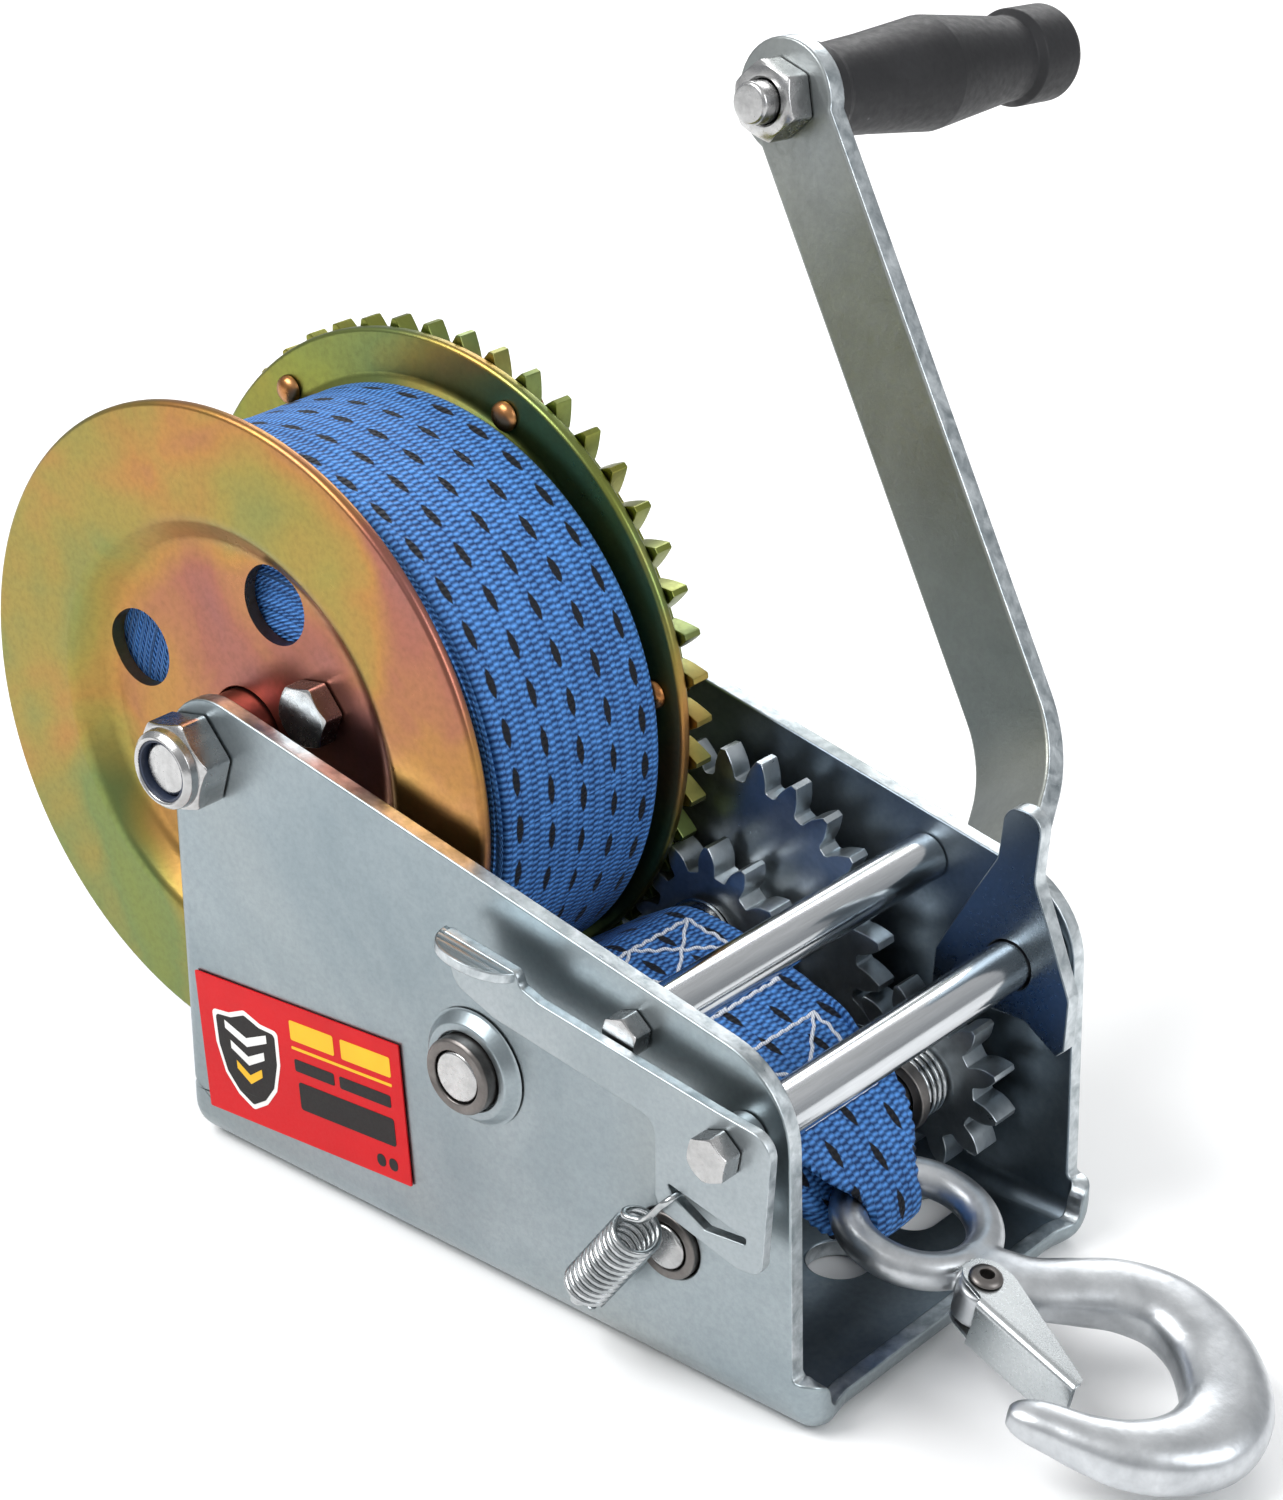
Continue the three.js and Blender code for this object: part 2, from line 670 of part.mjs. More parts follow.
// ---- crank -------------------------------------------------------------------------
function offsetPath(path, d) {
  return path.map((p, i) => {
    const a = path[Math.max(i - 1, 0)];
    const b = path[Math.min(i + 1, path.length - 1)];
    const t1 = new THREE.Vector2(p[0] - a[0], p[1] - a[1]);
    const t2 = new THREE.Vector2(b[0] - p[0], b[1] - p[1]);
    if (t1.length() < 1e-9) t1.copy(t2);
    if (t2.length() < 1e-9) t2.copy(t1);
    const m = t1.normalize().clone().add(t2.normalize()).normalize();
    const k = d / Math.max(0.5, m.dot(t1));
    return [p[0] - m.y * k, p[1] + m.x * k];
  });
}

function armPath() {
  const [bs, by] = ARM_BEND;
  const [ps, py] = ARM_PIN;
  const k = 17.5 / (ps - bs);
  const corners = [
    [-14, ARM_FACE],
    [11, ARM_FACE, 9],
    [bs, by, 26],
    [ps + 17.5, py + (py - by) * k],
  ];
  const closed = rounded([...corners, [ps, 0], [0, 0]], 8);
  return closed.slice(0, closed.length - 2);
}

function crankArm() {
  const inner = armPath();
  const outer = offsetPath(inner, ARM_T);
  const ring = [...inner, ...outer.reverse()].map(([s, y]) => [y, s]);
  let area = 0;
  ring.forEach((p, i) => {
    const q = ring[(i + 1) % ring.length];
    area += p[0] * q[1] - q[0] * p[1];
  });
  const side = new CrossSection([area < 0 ? [...ring].reverse() : ring]);
  let bar = side.extrude(32).rotate([90, 0, 90]).translate([-16, 0, 0]);
  // round eyes at both ends, a little wider than the bar
  const hub = rod([0, 0], 13.6, 0, 200, 32);
  const end = rod([0, ARM_PIN[0]], 13.8, 0, 200, 32);
  const mid = Manifold.cube([ARM_W, 300, ARM_PIN[0]], false).translate([-ARM_W / 2, 0, 0]);
  const keep = hub.add(end).add(mid);
  bar = bar.intersect(keep);
  bar = bar.subtract(rod([0, 0], 5.4, 0, 75, 28));
  const lean = Math.atan2(ARM_PIN[1] - ARM_BEND[1], ARM_PIN[0] - ARM_BEND[0]);
  const bore = Manifold.cylinder(40, 5.4, 5.4, 24, true).rotate([90 - (lean * 180) / Math.PI, 0, 0]);
  return swing(bar.subtract(bore.translate([0, ARM_PIN[1], ARM_PIN[0]])));
}

// From the crank's own frame (arm along +Z) to its rest position.
function swing(s) {
  return s.rotate([0, -ARM_LEAN, 0]).translate([SHAFT_B[0], 0, SHAFT_B[1]]);
}

// From a frame whose +Y is the grip axis, origin on the arm's inner face.
function onPin(s) {
  const lean = (Math.atan2(ARM_PIN[1] - ARM_BEND[1], ARM_PIN[0] - ARM_BEND[0]) * 180) / Math.PI;
  return swing(s.rotate([-lean, 0, 0]).translate([0, ARM_PIN[1], ARM_PIN[0]]));
}

function crankNut() {
  return hex(SHAFT_B, 16, 59.5, 67.4, 18).subtract(rod(SHAFT_B, 5.3, 0, 90, 28));
}

function grip() {
  const t = ARM_T + 0.4;
  const e = t + GRIP_LEN;
  const g = turned(
    [0, 0],
    [
      [5.4, t], [11.8, t], [12, t + 1], [12, t + 4], [10.7, t + 6.5], [11.7, t + 22],
      [13.2, t + 38], [13.8, t + 44], [13.6, t + 46], [10.5, t + 74], [10.4, t + 76.5],
      [12, t + 78.5], [12, e - 2], [11, e], [8.6, e], [8.6, e - 9], [5.4, e - 9],
    ],
    24,
  );
  return onPin(g);
}

function gripBolt() {
  const e = ARM_T + 0.4 + GRIP_LEN;
  const b = rod([0, 0], 5, -12.2, e - 8, 24).add(rod([0, 0], 8, e - 8.6, e - 2.6, 28));
  return onPin(b.subtract(hex([0, 0], 5, e - 5.6, e, 0)));
}

function gripNut() {
  const n = hexNear([0, 0], 16.6, -7.6, -0.4, 12);
  return onPin(n.subtract(rod([0, 0], 5.3, -20, 20, 24)));
}

// ---- strap ---------------------------------------------------------------------------
function strapTail() {
  // stations: x, z of the mid-thickness line, width, y of the centre
  const s = [
    [-33.6, 38.8, 50, -6.85], [-18, 49.6, 50, -6.85], [-6.5, 57.4, 50, -6.85], [-2, 60.3, 50, -6.85],
    [2, 61.6, 50, -6.85], [8, 61.4, 50, -6.85], [20, 59.4, 49, -6.8], [34, 56.2, 47.5, -6.7],
    [48, 52.2, 42, -6.5], [57, 48.4, 38, -6.2], [64, 44.4, 35, -5.8], [69.4, 39.8, 28.6, -5.8],
    [73.8, 35.8, 19.6, -6], [76.2, 32, 15.4, -6], [77.2, 28.4, 14.6, -6], [76.6, 24.6, 15, -6],
    [73.6, 22.2, 16, -6], [69, 22.8, 20, -6], [64.4, 26.6, 26, -6], [62.4, 32, 31, -6.1],
    [60.8, 38, 35, -6.2], [57.6, 43, 37, -6.3], [52, 47.2, 40, -6.4], [45, 50.4, 43, -6.6],
    [34, 53.8, 46, -6.7], [20, 57, 48, -6.8], [13, 58.2, 48, -6.8],
  ];
  const curve = new THREE.CatmullRomCurve3(s.map((p) => new THREE.Vector3(p[0], p[2], p[1])), false, "centripetal");
  const cy = new THREE.CatmullRomCurve3(s.map((p) => new THREE.Vector3(p[0], p[3], p[1])), false, "centripetal");
  const n = 60;
  const stations = [];
  for (let i = 0; i <= n; i++) {
    const p = curve.getPoint(i / n);
    const q = cy.getPoint(i / n);
    const a = curve.getPoint(Math.max(0, i / n - 0.004));
    const b = curve.getPoint(Math.min(1, i / n + 0.004));
    const t = new THREE.Vector2(b.x - a.x, b.z - a.z).normalize();
    stations.push({ at: [p.x, q.y, p.z], across: [0, 1, 0], up: [-t.y, 0, t.x], w: p.y, h: STRAP_T });
  }
  return ribbon(stations);
}

function ribbon(stations) {
  const wide = stations.map((s) => s.w / 2);
  const pos = [];
  const idx = [];
  stations.forEach((s, i) => {
    for (const [c, d] of [[-1, -1], [1, -1], [1, 1], [-1, 1]])
      for (let j = 0; j < 3; j++)
        pos.push(s.at[j] + s.across[j] * c * wide[i] + (s.up[j] * d * s.h) / 2);
  });
  for (let i = 0; i + 1 < stations.length; i++)
    for (let k = 0; k < 4; k++) {
      const a = i * 4 + k;
      const b = i * 4 + ((k + 1) % 4);
      idx.push(a, b, a + 4, b, b + 4, a + 4);
    }
  const l = (stations.length - 1) * 4;
  idx.push(0, 2, 1, 0, 3, 2, l, l + 1, l + 2, l, l + 2, l + 3);
  const s = new Manifold(
    new wasm.Mesh({ numProp: 3, vertProperties: new Float32Array(pos), triVerts: new Uint32Array(idx) }),
  );
  return s.volume() < 0 ? turnOver(s) : s;
}

// ---- hook ------------------------------------------------------------------------------
// The hook is drawn flat: u along it from the eye, v across, then laid down.
function lay(s) {
  return s.rotate([0, HOOK_PITCH, 0]).translate(EYE);
}

function hookBody() {
  const line = [
    // u, v, width in the plane, thickness
    [13, -0.4, 11, 8], [20, 0.4, 13.5, 8.4], [27, 3.6, 14, 9.4], [33.4, 10, 14.5, 11.2],
    [40, 16.4, 15.5, 12.4], [49, 20, 16.6, 13], [58.6, 18.2, 17.6, 13], [66.4, 13, 18.4, 13],
    [72.4, 5.6, 18.6, 13], [74.2, -3.8, 18.2, 13], [71.2, -12.6, 15.8, 12.6], [65.6, -19, 13.4, 11.8],
    [58.8, -22.8, 10.8, 10.4], [53, -24.8, 9.4, 9.2], [48.4, -26.6, 8.2, 8], [45.4, -28, 6, 6],
    [44.2, -28.6, 3.4, 3.6],
  ];
  const curve = new THREE.CatmullRomCurve3(line.map((p) => new THREE.Vector3(p[0], p[1], 0)), false, "centripetal");
  const size = new THREE.CatmullRomCurve3(line.map((p) => new THREE.Vector3(p[0], p[2], p[3])), false, "centripetal");
  const n = 26;
  const stations = [];
  for (let i = 0; i <= n; i++) {
    const t = curve.getTangent(i / n);
    const p = curve.getPoint(i / n);
    const w = size.getPoint(i / n);
    stations.push({ at: [p.x, p.y, 0], across: [-t.y, t.x, 0], up: [0, 0, 1], w: w.y, h: w.z });
  }
  let body = loft(stations, 10, 0.8);
  const ring = solidOf(new THREE.TorusGeometry(14.2, 3.9, 8, 26));
  body = body.add(ring.volume() < 0 ? turnOver(ring) : ring);
  body = body.subtract(Manifold.cylinder(30, 10.2, 10.2, 26, true).translate([0, 0, 0]));
  const lug = Manifold.hull([
    Manifold.cylinder(8.2, 4.6, 4.6, 20, true).translate([LATCH_PIN[0], LATCH_PIN[1], 0]),
    Manifold.cylinder(8.2, 4.6, 4.6, 20, true).translate([20, -1, 0]),
  ]);
  return lay(body.add(lug).subtract(Manifold.cylinder(40, 2.9, 2.9, 16, true).translate([...LATCH_PIN, 0])));
}

function hookLatch() {
  const [pu, pv] = LATCH_PIN;
  const outline = [];
  for (let i = 0; i <= 6; i++) {
    const a = rad(140 - 10 + 18 * i);
    outline.push([18.2 + 4.6 * Math.cos(a), -3.6 + 4.6 * Math.sin(a)]);
  }
  outline.push([pu + 1.4, pv - 6.6], [51, -18.8], [50.8, -15.8], [33, -5.2], [23, 0.4]);
  const flat = new CrossSection([outline]).extrude(12.2).translate([0, 0, -6.1]);
  const gap = [[8, 8], [8, -16], [pu + 0.2, pv - 6.2], [pu + 1.8, pv - 5.4], [56, -18], [60, 8]];
  let body = flat.subtract(new CrossSection([gap]).extrude(9.8).translate([0, 0, -4.9]));
  return lay(body.subtract(Manifold.cylinder(40, 2.9, 2.9, 16, true).translate([pu, pv, 0])));
}

function latchRivet() {
  const h = 6.4;
  const r = new THREE.LatheGeometry(
    [[1.4, -h - 0.9], [3.2, -h - 0.9], [3.5, -h - 0.4], [3.5, -h], [2.6, -h], [2.6, h], [3.5, h],
      [3.5, h + 0.4], [3.2, h + 0.9], [1.4, h + 0.9], [1.4, -h - 0.9]].map(([a, b]) => new THREE.Vector2(a, b)),
    16,
  );
  let s = solidOf(r);
  if (s.volume() < 0) s = turnOver(s);
  return lay(s.rotate([90, 0, 0]).translate([...LATCH_PIN, 0]));
}

// ---- label --------------------------------------------------------------------------------
function label() {
  const w = 31.4;
  const h = 16.9;
  const pts = [[-w, -h], [w, -h], [w, h], [-w, h]].map(([x, z]) => {
    const a = rad(4.4);
    return [-50.6 + x * Math.cos(a) - z * Math.sin(a), 30 + x * Math.sin(a) + z * Math.cos(a)];
  });
  return plate(pts, -50.2, -49.8);
}

// ---- assembly --------------------------------------------------------------------------------
put("frame_channel", frame(), STEEL);
put("label_plate", label(), RED);
put("axle_bolt", axleBolt(), BRIGHT);
put("axle_nut", axleNut(), BRIGHT);
put("axle_sleeve", tube(DRUM, SLEEVE_R, 6.3, -45.2, 45.2, 28), GOLD);
put("near_flange", nearFlange(), GOLD);
put("far_flange", farFlange(), GOLD);
put("drum_core", tube(DRUM, 16, SLEEVE_R + 0.5, -31.9, 18.2, 28), GOLD);
put("drum_gear", drumGear(), GOLD);
rivetPlaces().forEach((at, i) => put("gear_rivet_" + (i + 1), gearRivet(at), COPPER));
put("anchor_bolt", anchorBolt(), BRIGHT);
put("anchor_nut", anchorNut(), BRIGHT);
put("strap_roll", strapRoll(), BLUE);
put("strap_tail", strapTail(), BLUE);
put("middle_shaft", middleShaft(), STEEL);
put("middle_bush_near", bush(SHAFT_A, 6, 8.5, -55.6, 11), DARK);
put("middle_bush_far", bush(SHAFT_A, 6, 8.5, -55.6, 11).mirror([0, 1, 0]), DARK);
put("middle_gear", middleGear(), STEEL);
put("small_pinion", smallPinion(), STEEL);
put("middle_snap_ring", snapRing(), DARK);
put("crank_shaft", crankShaft(), STEEL);
put("crank_bush_near", crankBush(-1), DARK);
put("crank_bush_far", crankBush(1), DARK);
put("crank_pinion", crankPinion(), STEEL);
put("spring_collar", springCollar(), DARK);
put("thrust_spring", thrustSpring(), BRIGHT);
put("rear_tube", tube(TUBE_REAR, TUBE_R, 3.2, -45.2, 45.2, 28), BRIGHT);
put("rear_tube_bolt", crossBolt(TUBE_REAR, -54.6, 4.8, 8.2), BRIGHT);
put("rear_tube_nut", crossNut(TUBE_REAR, 8.4), BRIGHT);
put("front_tube", tube(TUBE_FRONT, TUBE_R, 3.2, -45.2, 45.2, 28), BRIGHT);
put("front_tube_bolt", crossBolt(TUBE_FRONT, -62.6, 4.7, 9), BRIGHT);
put("front_tube_nut", crossNut(TUBE_FRONT, 8.4), BRIGHT);
put("pawl_collar", pawlCollar(), DARK);
put("ratchet_pawl", pawl(), STEEL);
put("lever_spacer", leverSpacer(), DARK);
put("lock_lever", lockLever(), STEEL);
put("lever_spring", leverSpring(), BRIGHT);
put("crank_arm", crankArm(), STEEL);
put("crank_nut", crankNut(), BRIGHT);
put("grip", grip(), BLACK);
put("grip_bolt", gripBolt(), BRIGHT);
put("grip_nut", gripNut(), BRIGHT);
put("hook_body", hookBody(), BRIGHT);
put("hook_latch", hookLatch(), STEEL);
put("latch_rivet", latchRivet(), DARK);

export default winch;
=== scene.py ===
import math

import bmesh
import bpy
from mathutils import Matrix, Vector


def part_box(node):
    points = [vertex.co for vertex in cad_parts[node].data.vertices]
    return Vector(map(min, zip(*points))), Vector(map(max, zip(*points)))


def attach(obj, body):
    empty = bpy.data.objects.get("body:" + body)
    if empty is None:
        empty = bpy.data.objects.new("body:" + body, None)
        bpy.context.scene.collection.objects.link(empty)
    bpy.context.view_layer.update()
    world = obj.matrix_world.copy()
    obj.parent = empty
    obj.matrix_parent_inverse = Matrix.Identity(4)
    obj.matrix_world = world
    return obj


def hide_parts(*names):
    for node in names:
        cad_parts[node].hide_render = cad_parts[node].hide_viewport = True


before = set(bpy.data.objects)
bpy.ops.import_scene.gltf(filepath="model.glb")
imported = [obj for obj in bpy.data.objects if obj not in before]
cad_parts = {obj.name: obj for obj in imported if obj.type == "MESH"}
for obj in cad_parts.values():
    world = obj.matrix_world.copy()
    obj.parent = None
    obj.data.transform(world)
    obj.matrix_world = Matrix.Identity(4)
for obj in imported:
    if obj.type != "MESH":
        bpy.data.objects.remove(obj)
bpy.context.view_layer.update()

K = 0.001  # one millimetre
PI = math.pi


def rad(d):
    return d * PI / 180


# ---- key places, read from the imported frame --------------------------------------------
def mid(node):
    lo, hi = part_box(node)
    return [(lo[i] + hi[i]) / 2 / K for i in range(3)]


def span(node, axis):
    lo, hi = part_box(node)
    return lo[axis] / K, hi[axis] / K


DRUM = (mid("near_flange")[0], mid("near_flange")[2])
SHAFT_A = (mid("middle_shaft")[0], mid("middle_shaft")[2])
SHAFT_B = (mid("crank_shaft")[0], mid("crank_shaft")[2])
REAR = (mid("rear_tube")[0], mid("rear_tube")[2])
FRONT = (mid("front_tube")[0], mid("front_tube")[2])
ANCHOR = (mid("anchor_nut")[0], mid("anchor_nut")[2])
RIM = (span("near_flange", 2)[1] - span("near_flange", 2)[0]) / 2
TUBE_R = (span("front_tube", 2)[1] - span("front_tube", 2)[0]) / 2


# ---- materials ---------------------------------------------------------------------------
class Paint:
    """A node material with short ways to add nodes and links."""

    def __init__(self, name, metal=0.0, rough=0.5, color=(0.5, 0.5, 0.5)):
        self.m = bpy.data.materials.new(name)
        self.m.use_nodes = True
        self.nt = self.m.node_tree
        self.b = self.nt.nodes["Principled BSDF"]
        self.b.inputs["Metallic"].default_value = metal
        self.b.inputs["Roughness"].default_value = rough
        self.b.inputs["Base Color"].default_value = (*color, 1)
        tc = self.nt.nodes.new("ShaderNodeTexCoord")
        self.obj = tc.outputs["Object"]
        self.uv = tc.outputs["UV"]

    def add(self, kind, out=0, props=None, **ins):
        nd = self.nt.nodes.new("ShaderNode" + kind)
        for k, v in (props or {}).items():
            setattr(nd, k, v)
        for k, v in ins.items():
            s = nd.inputs[int(k[1:])] if k[0] == "i" and k[1:].isdigit() else nd.inputs[k]
            if isinstance(v, bpy.types.NodeSocket):
                self.nt.links.new(v, s)
            else:
                s.default_value = v
        return nd.outputs[out]

    def math(self, op, a, b=0.0):
        return self.add("Math", props={"operation": op}, i0=a, i1=b)

    def noise(self, scale, detail=3.0, rough=0.5, vec=None, distort=0.0):
        return self.add("TexNoise", Vector=vec or self.obj, Scale=scale, Detail=detail,
                        Roughness=rough, Distortion=distort)

    def stretch(self, sx, sy, sz):
        return self.add("Mapping", Vector=self.obj, Scale=(sx, sy, sz))

    def ramp(self, fac, stops):
        nd = self.nt.nodes.new("ShaderNodeValToRGB")
        cr = nd.color_ramp
        while len(cr.elements) < len(stops):
            cr.elements.new(0.5)
        for e, (p, c) in zip(cr.elements, stops):
            e.position = p
            e.color = (*c, 1) if len(c) == 3 else c
        self.nt.links.new(fac, nd.inputs[0])
        return nd.outputs[0]

    def mix(self, fac, a, b):
        nd = self.nt.nodes.new("ShaderNodeMix")
        nd.data_type = "RGBA"
        for i, v in ((0, fac), (6, a), (7, b)):
            if isinstance(v, bpy.types.NodeSocket):
                self.nt.links.new(v, nd.inputs[i])
            elif i:
                nd.inputs[i].default_value = (*v, 1)
            else:
                nd.inputs[i].default_value = v
        return nd.outputs[2]

    def range(self, v, a, b, c, d):
        return self.add("MapRange", i0=v, i1=a, i2=b, i3=c, i4=d)

    def color(self, s):
        self.nt.links.new(s, self.b.inputs["Base Color"])

    def rough(self, s):
        self.nt.links.new(s, self.b.inputs["Roughness"])

    def bump(self, height, strength=0.2, dist=0.0002):
        self.nt.links.new(
            self.add("Bump", Height=height, Strength=strength, Distance=dist), self.b.inputs["Normal"])


def metal(name, dark, light, rough=(0.25, 0.4), grain=900, bump=0.12, patch=25, tint=None,
          stretch=None):
    """Plated steel: cloudy tone, fine grain in the gloss and a little relief."""
    p = Paint(name, 1.0)
    vec = p.stretch(*stretch) if stretch else p.obj
    cloud = p.noise(patch, 4, 0.6, vec, 0.4)
    col = p.ramp(cloud, [(0.32, dark), (0.68, light)])
    if tint:
        other = p.noise(patch * 0.45, 2, 0.5, p.stretch(1, 1.3, 0.8), 0.8)
        col = p.mix(p.range(other, 0.5, 0.75, 0.0, 0.75), col, tint)
    fine = p.noise(grain, 3, 0.6, vec)
    col = p.mix(p.range(fine, 0.35, 0.7, 0.0, 0.18), col, [c * 0.55 for c in dark])
    p.color(col)
    both = p.math("ADD", p.math("MULTIPLY", cloud, 0.5), p.math("MULTIPLY", fine, 0.5))
    p.rough(p.range(both, 0.3, 0.7, rough[0], rough[1]))
    p.bump(fine, bump)
    return p.m


def yellow_zinc(name, center, green=0.0):
    """Yellow chromate plating: olive, gold, orange and pink drift over it in wide soft bands."""
    p = Paint(name, 1.0)
    away = p.add("VectorMath", props={"operation": "SUBTRACT"}, i0=p.obj,
                 i1=(center[0] * K, 0, center[1] * K))
    flat = p.add("Mapping", Vector=away, Scale=(1, 0, 1))
    r = p.add("VectorMath", out=1, props={"operation": "LENGTH"}, i0=flat)
    wide = p.noise(11, 2, 0.45, p.stretch(1, 0.6, 1), 1.4)
    soft = p.noise(34, 3, 0.5, None, 0.8)
    sep = p.nt.nodes.new("ShaderNodeSeparateXYZ")
    p.nt.links.new(away, sep.inputs[0])
    f = p.math("ADD", p.math("MULTIPLY", wide, 1.05), p.math("MULTIPLY", soft, 0.28))
    f = p.math("ADD", f, p.math("MULTIPLY", sep.outputs["X"], 2.7))
    f = p.math("ADD", f, p.math("MULTIPLY", r, 0.9))
    f = p.math("ADD", f, p.range(r, 0.036, 0.050, 0.26, 0.0))
    f = p.math("SUBTRACT", f, 0.20 + green)
    col = p.ramp(f, [(0.04, (0.26, 0.22, 0.045)), (0.20, (0.21, 0.235, 0.05)), (0.34, (0.17, 0.22, 0.075)),
                     (0.45, (0.30, 0.235, 0.06)), (0.56, (0.40, 0.20, 0.06)), (0.68, (0.33, 0.125, 0.085)),
                     (0.84, (0.27, 0.115, 0.115)), (1.0, (0.25, 0.17, 0.08))])
    fine = p.noise(700, 3, 0.6)
    col = p.mix(p.range(fine, 0.4, 0.75, 0.0, 0.2), col, (0.08, 0.065, 0.03))
    p.color(col)
    p.rough(p.range(p.math("ADD", p.math("MULTIPLY", soft, 0.6), p.math("MULTIPLY", fine, 0.4)),
                    0.3, 0.7, 0.26, 0.42))
    p.bump(fine, 0.1)
    return p.m


def webbing(name):
    """Woven polyester tape. The UV map holds millimetres / 10: u across the tape, v along it."""
    p = Paint(name, 0.0, 0.62)
    sep = p.nt.nodes.new("ShaderNodeSeparateXYZ")
    p.nt.links.new(p.uv, sep.inputs[0])
    u = p.math("MULTIPLY", sep.outputs["X"], 10.0)
    v = p.math("MULTIPLY", sep.outputs["Y"], 10.0)
    wob = p.noise(160, 2, 0.5)
    v = p.math("ADD", v, p.math("MULTIPLY", p.math("SUBTRACT", wob, 0.5), 0.5))
    lane = p.math("FLOOR", p.math("DIVIDE", u, 1.7))
    shift = p.math("MULTIPLY", p.math("MODULO", p.math("ABSOLUTE", lane), 2.0), 0.36)
    pick = p.math("SINE", p.math("MULTIPLY", p.math("ADD", v, shift), 2 * PI / 1.5))
    warp = p.math("ABSOLUTE", p.math("SINE", p.math("MULTIPLY", u, PI / 1.7)))
    band = p.math("SINE", p.math("MULTIPLY", u, 2 * PI / 4.4))
    rib = p.math("ADD", p.math("MULTIPLY", pick, 0.5), 0.5)
    weave = p.math("MULTIPLY", rib, p.math("ADD", p.math("MULTIPLY", warp, 0.45), 0.55))
    # tracer dashes: five rows, neighbours half a step apart
    row = p.math("ROUND", p.math("DIVIDE", u, 9.8))
    du = p.math("SUBTRACT", u, p.math("MULTIPLY", row, 9.8))
    odd = p.math("MODULO", p.math("ABSOLUTE", row), 2.0)
    step = p.math("ADD", p.math("DIVIDE", v, 10.6), p.math("MULTIPLY", odd, 0.5))
    dv = p.math("SUBTRACT", step, p.math("ROUND", step))
    lens = p.math("ADD", p.math("POWER", p.math("DIVIDE", p.math("ABSOLUTE", du), 1.05), 1.2),
                  p.math("POWER", p.math("DIVIDE", p.math("ABSOLUTE", dv), 0.32), 2.0))
    edge = p.math("LESS_THAN", p.math("ABSOLUTE", u), 21.5)
    ragged = p.math("ADD", lens, p.math("MULTIPLY", p.math("SUBTRACT", p.noise(1500, 2), 0.5), 0.6))
    dash = p.math("MULTIPLY", p.range(ragged, 0.85, 1.15, 1.0, 0.0), edge)
    tone = p.noise(70, 3, 0.6)
    yarn = p.noise(2200, 2, 0.6)
    low, high = (0.005, 0.034, 0.13), (0.12, 0.38, 0.94)
    shade = p.math("ADD", p.math("MULTIPLY", weave, 0.62), p.math("MULTIPLY", tone, 0.30))
    shade = p.math("ADD", shade, p.math("MULTIPLY", band, 0.06))
    shade = p.math("ADD", shade, p.math("MULTIPLY", p.math("SUBTRACT", yarn, 0.5), 0.35))
    col = p.ramp(shade, [(0.12, low), (0.55, [(a + b) / 2 for a, b in zip(low, high)]), (0.98, high)])
    col = p.mix(dash, col, (0.003, 0.004, 0.008))
    p.color(col)
    h = p.math("ADD", weave, p.math("MULTIPLY", band, 0.18))
    h = p.math("ADD", h, p.math("MULTIPLY", yarn, 0.25))
    p.bump(h, 0.9, 0.00035)
    p.b.inputs["Sheen Weight"].default_value = 0.10
    p.b.inputs["Sheen Roughness"].default_value = 0.4
    p.b.inputs["Sheen Tint"].default_value = (0.55, 0.7, 1.0, 1)
    p.b.inputs["Specular IOR Level"].default_value = 0.25
    return p.m


def moulded(name, dark, light, rough=(0.45, 0.62), grain=600, bump=0.25, specks=None):
    p = Paint(name, 0.0)
    cloud = p.noise(35, 4, 0.6)
    fine = p.noise(grain, 4, 0.6)
    col = p.mix(p.range(cloud, 0.3, 0.7, 0.0, 1.0), dark, light)
    if specks:
        dots = p.add("TexVoronoi", Vector=p.obj, Scale=160.0)
        near = p.range(dots, 0.03, 0.09, 1.0, 0.0)
        rare = p.range(p.noise(60, 2), 0.60, 0.66, 0.0, 0.8)
        col = p.mix(p.math("MULTIPLY", near, rare), col, specks)
    p.color(col)
    p.rough(p.range(fine, 0.3, 0.7, rough[0], rough[1]))
    p.b.inputs["Specular IOR Level"].default_value = 0.3
    p.bump(fine, bump, 0.00015)
    return p.m


def printed(name, color):
    """Printed film: a light gloss, tiny print grain and a faint change of tone."""
    p = Paint(name, 0.0)
    cloud = p.noise(60, 3, 0.6)
    p.color(p.mix(p.range(cloud, 0.35, 0.7, 0.0, 1.0), color, [c * 0.88 for c in color]))
    fine = p.noise(1800, 2)
    p.rough(p.range(fine, 0.3, 0.7, 0.40, 0.52))
    p.b.inputs["Specular IOR Level"].default_value = 0.22
    p.bump(fine, 0.06, 0.0001)
    return p.m


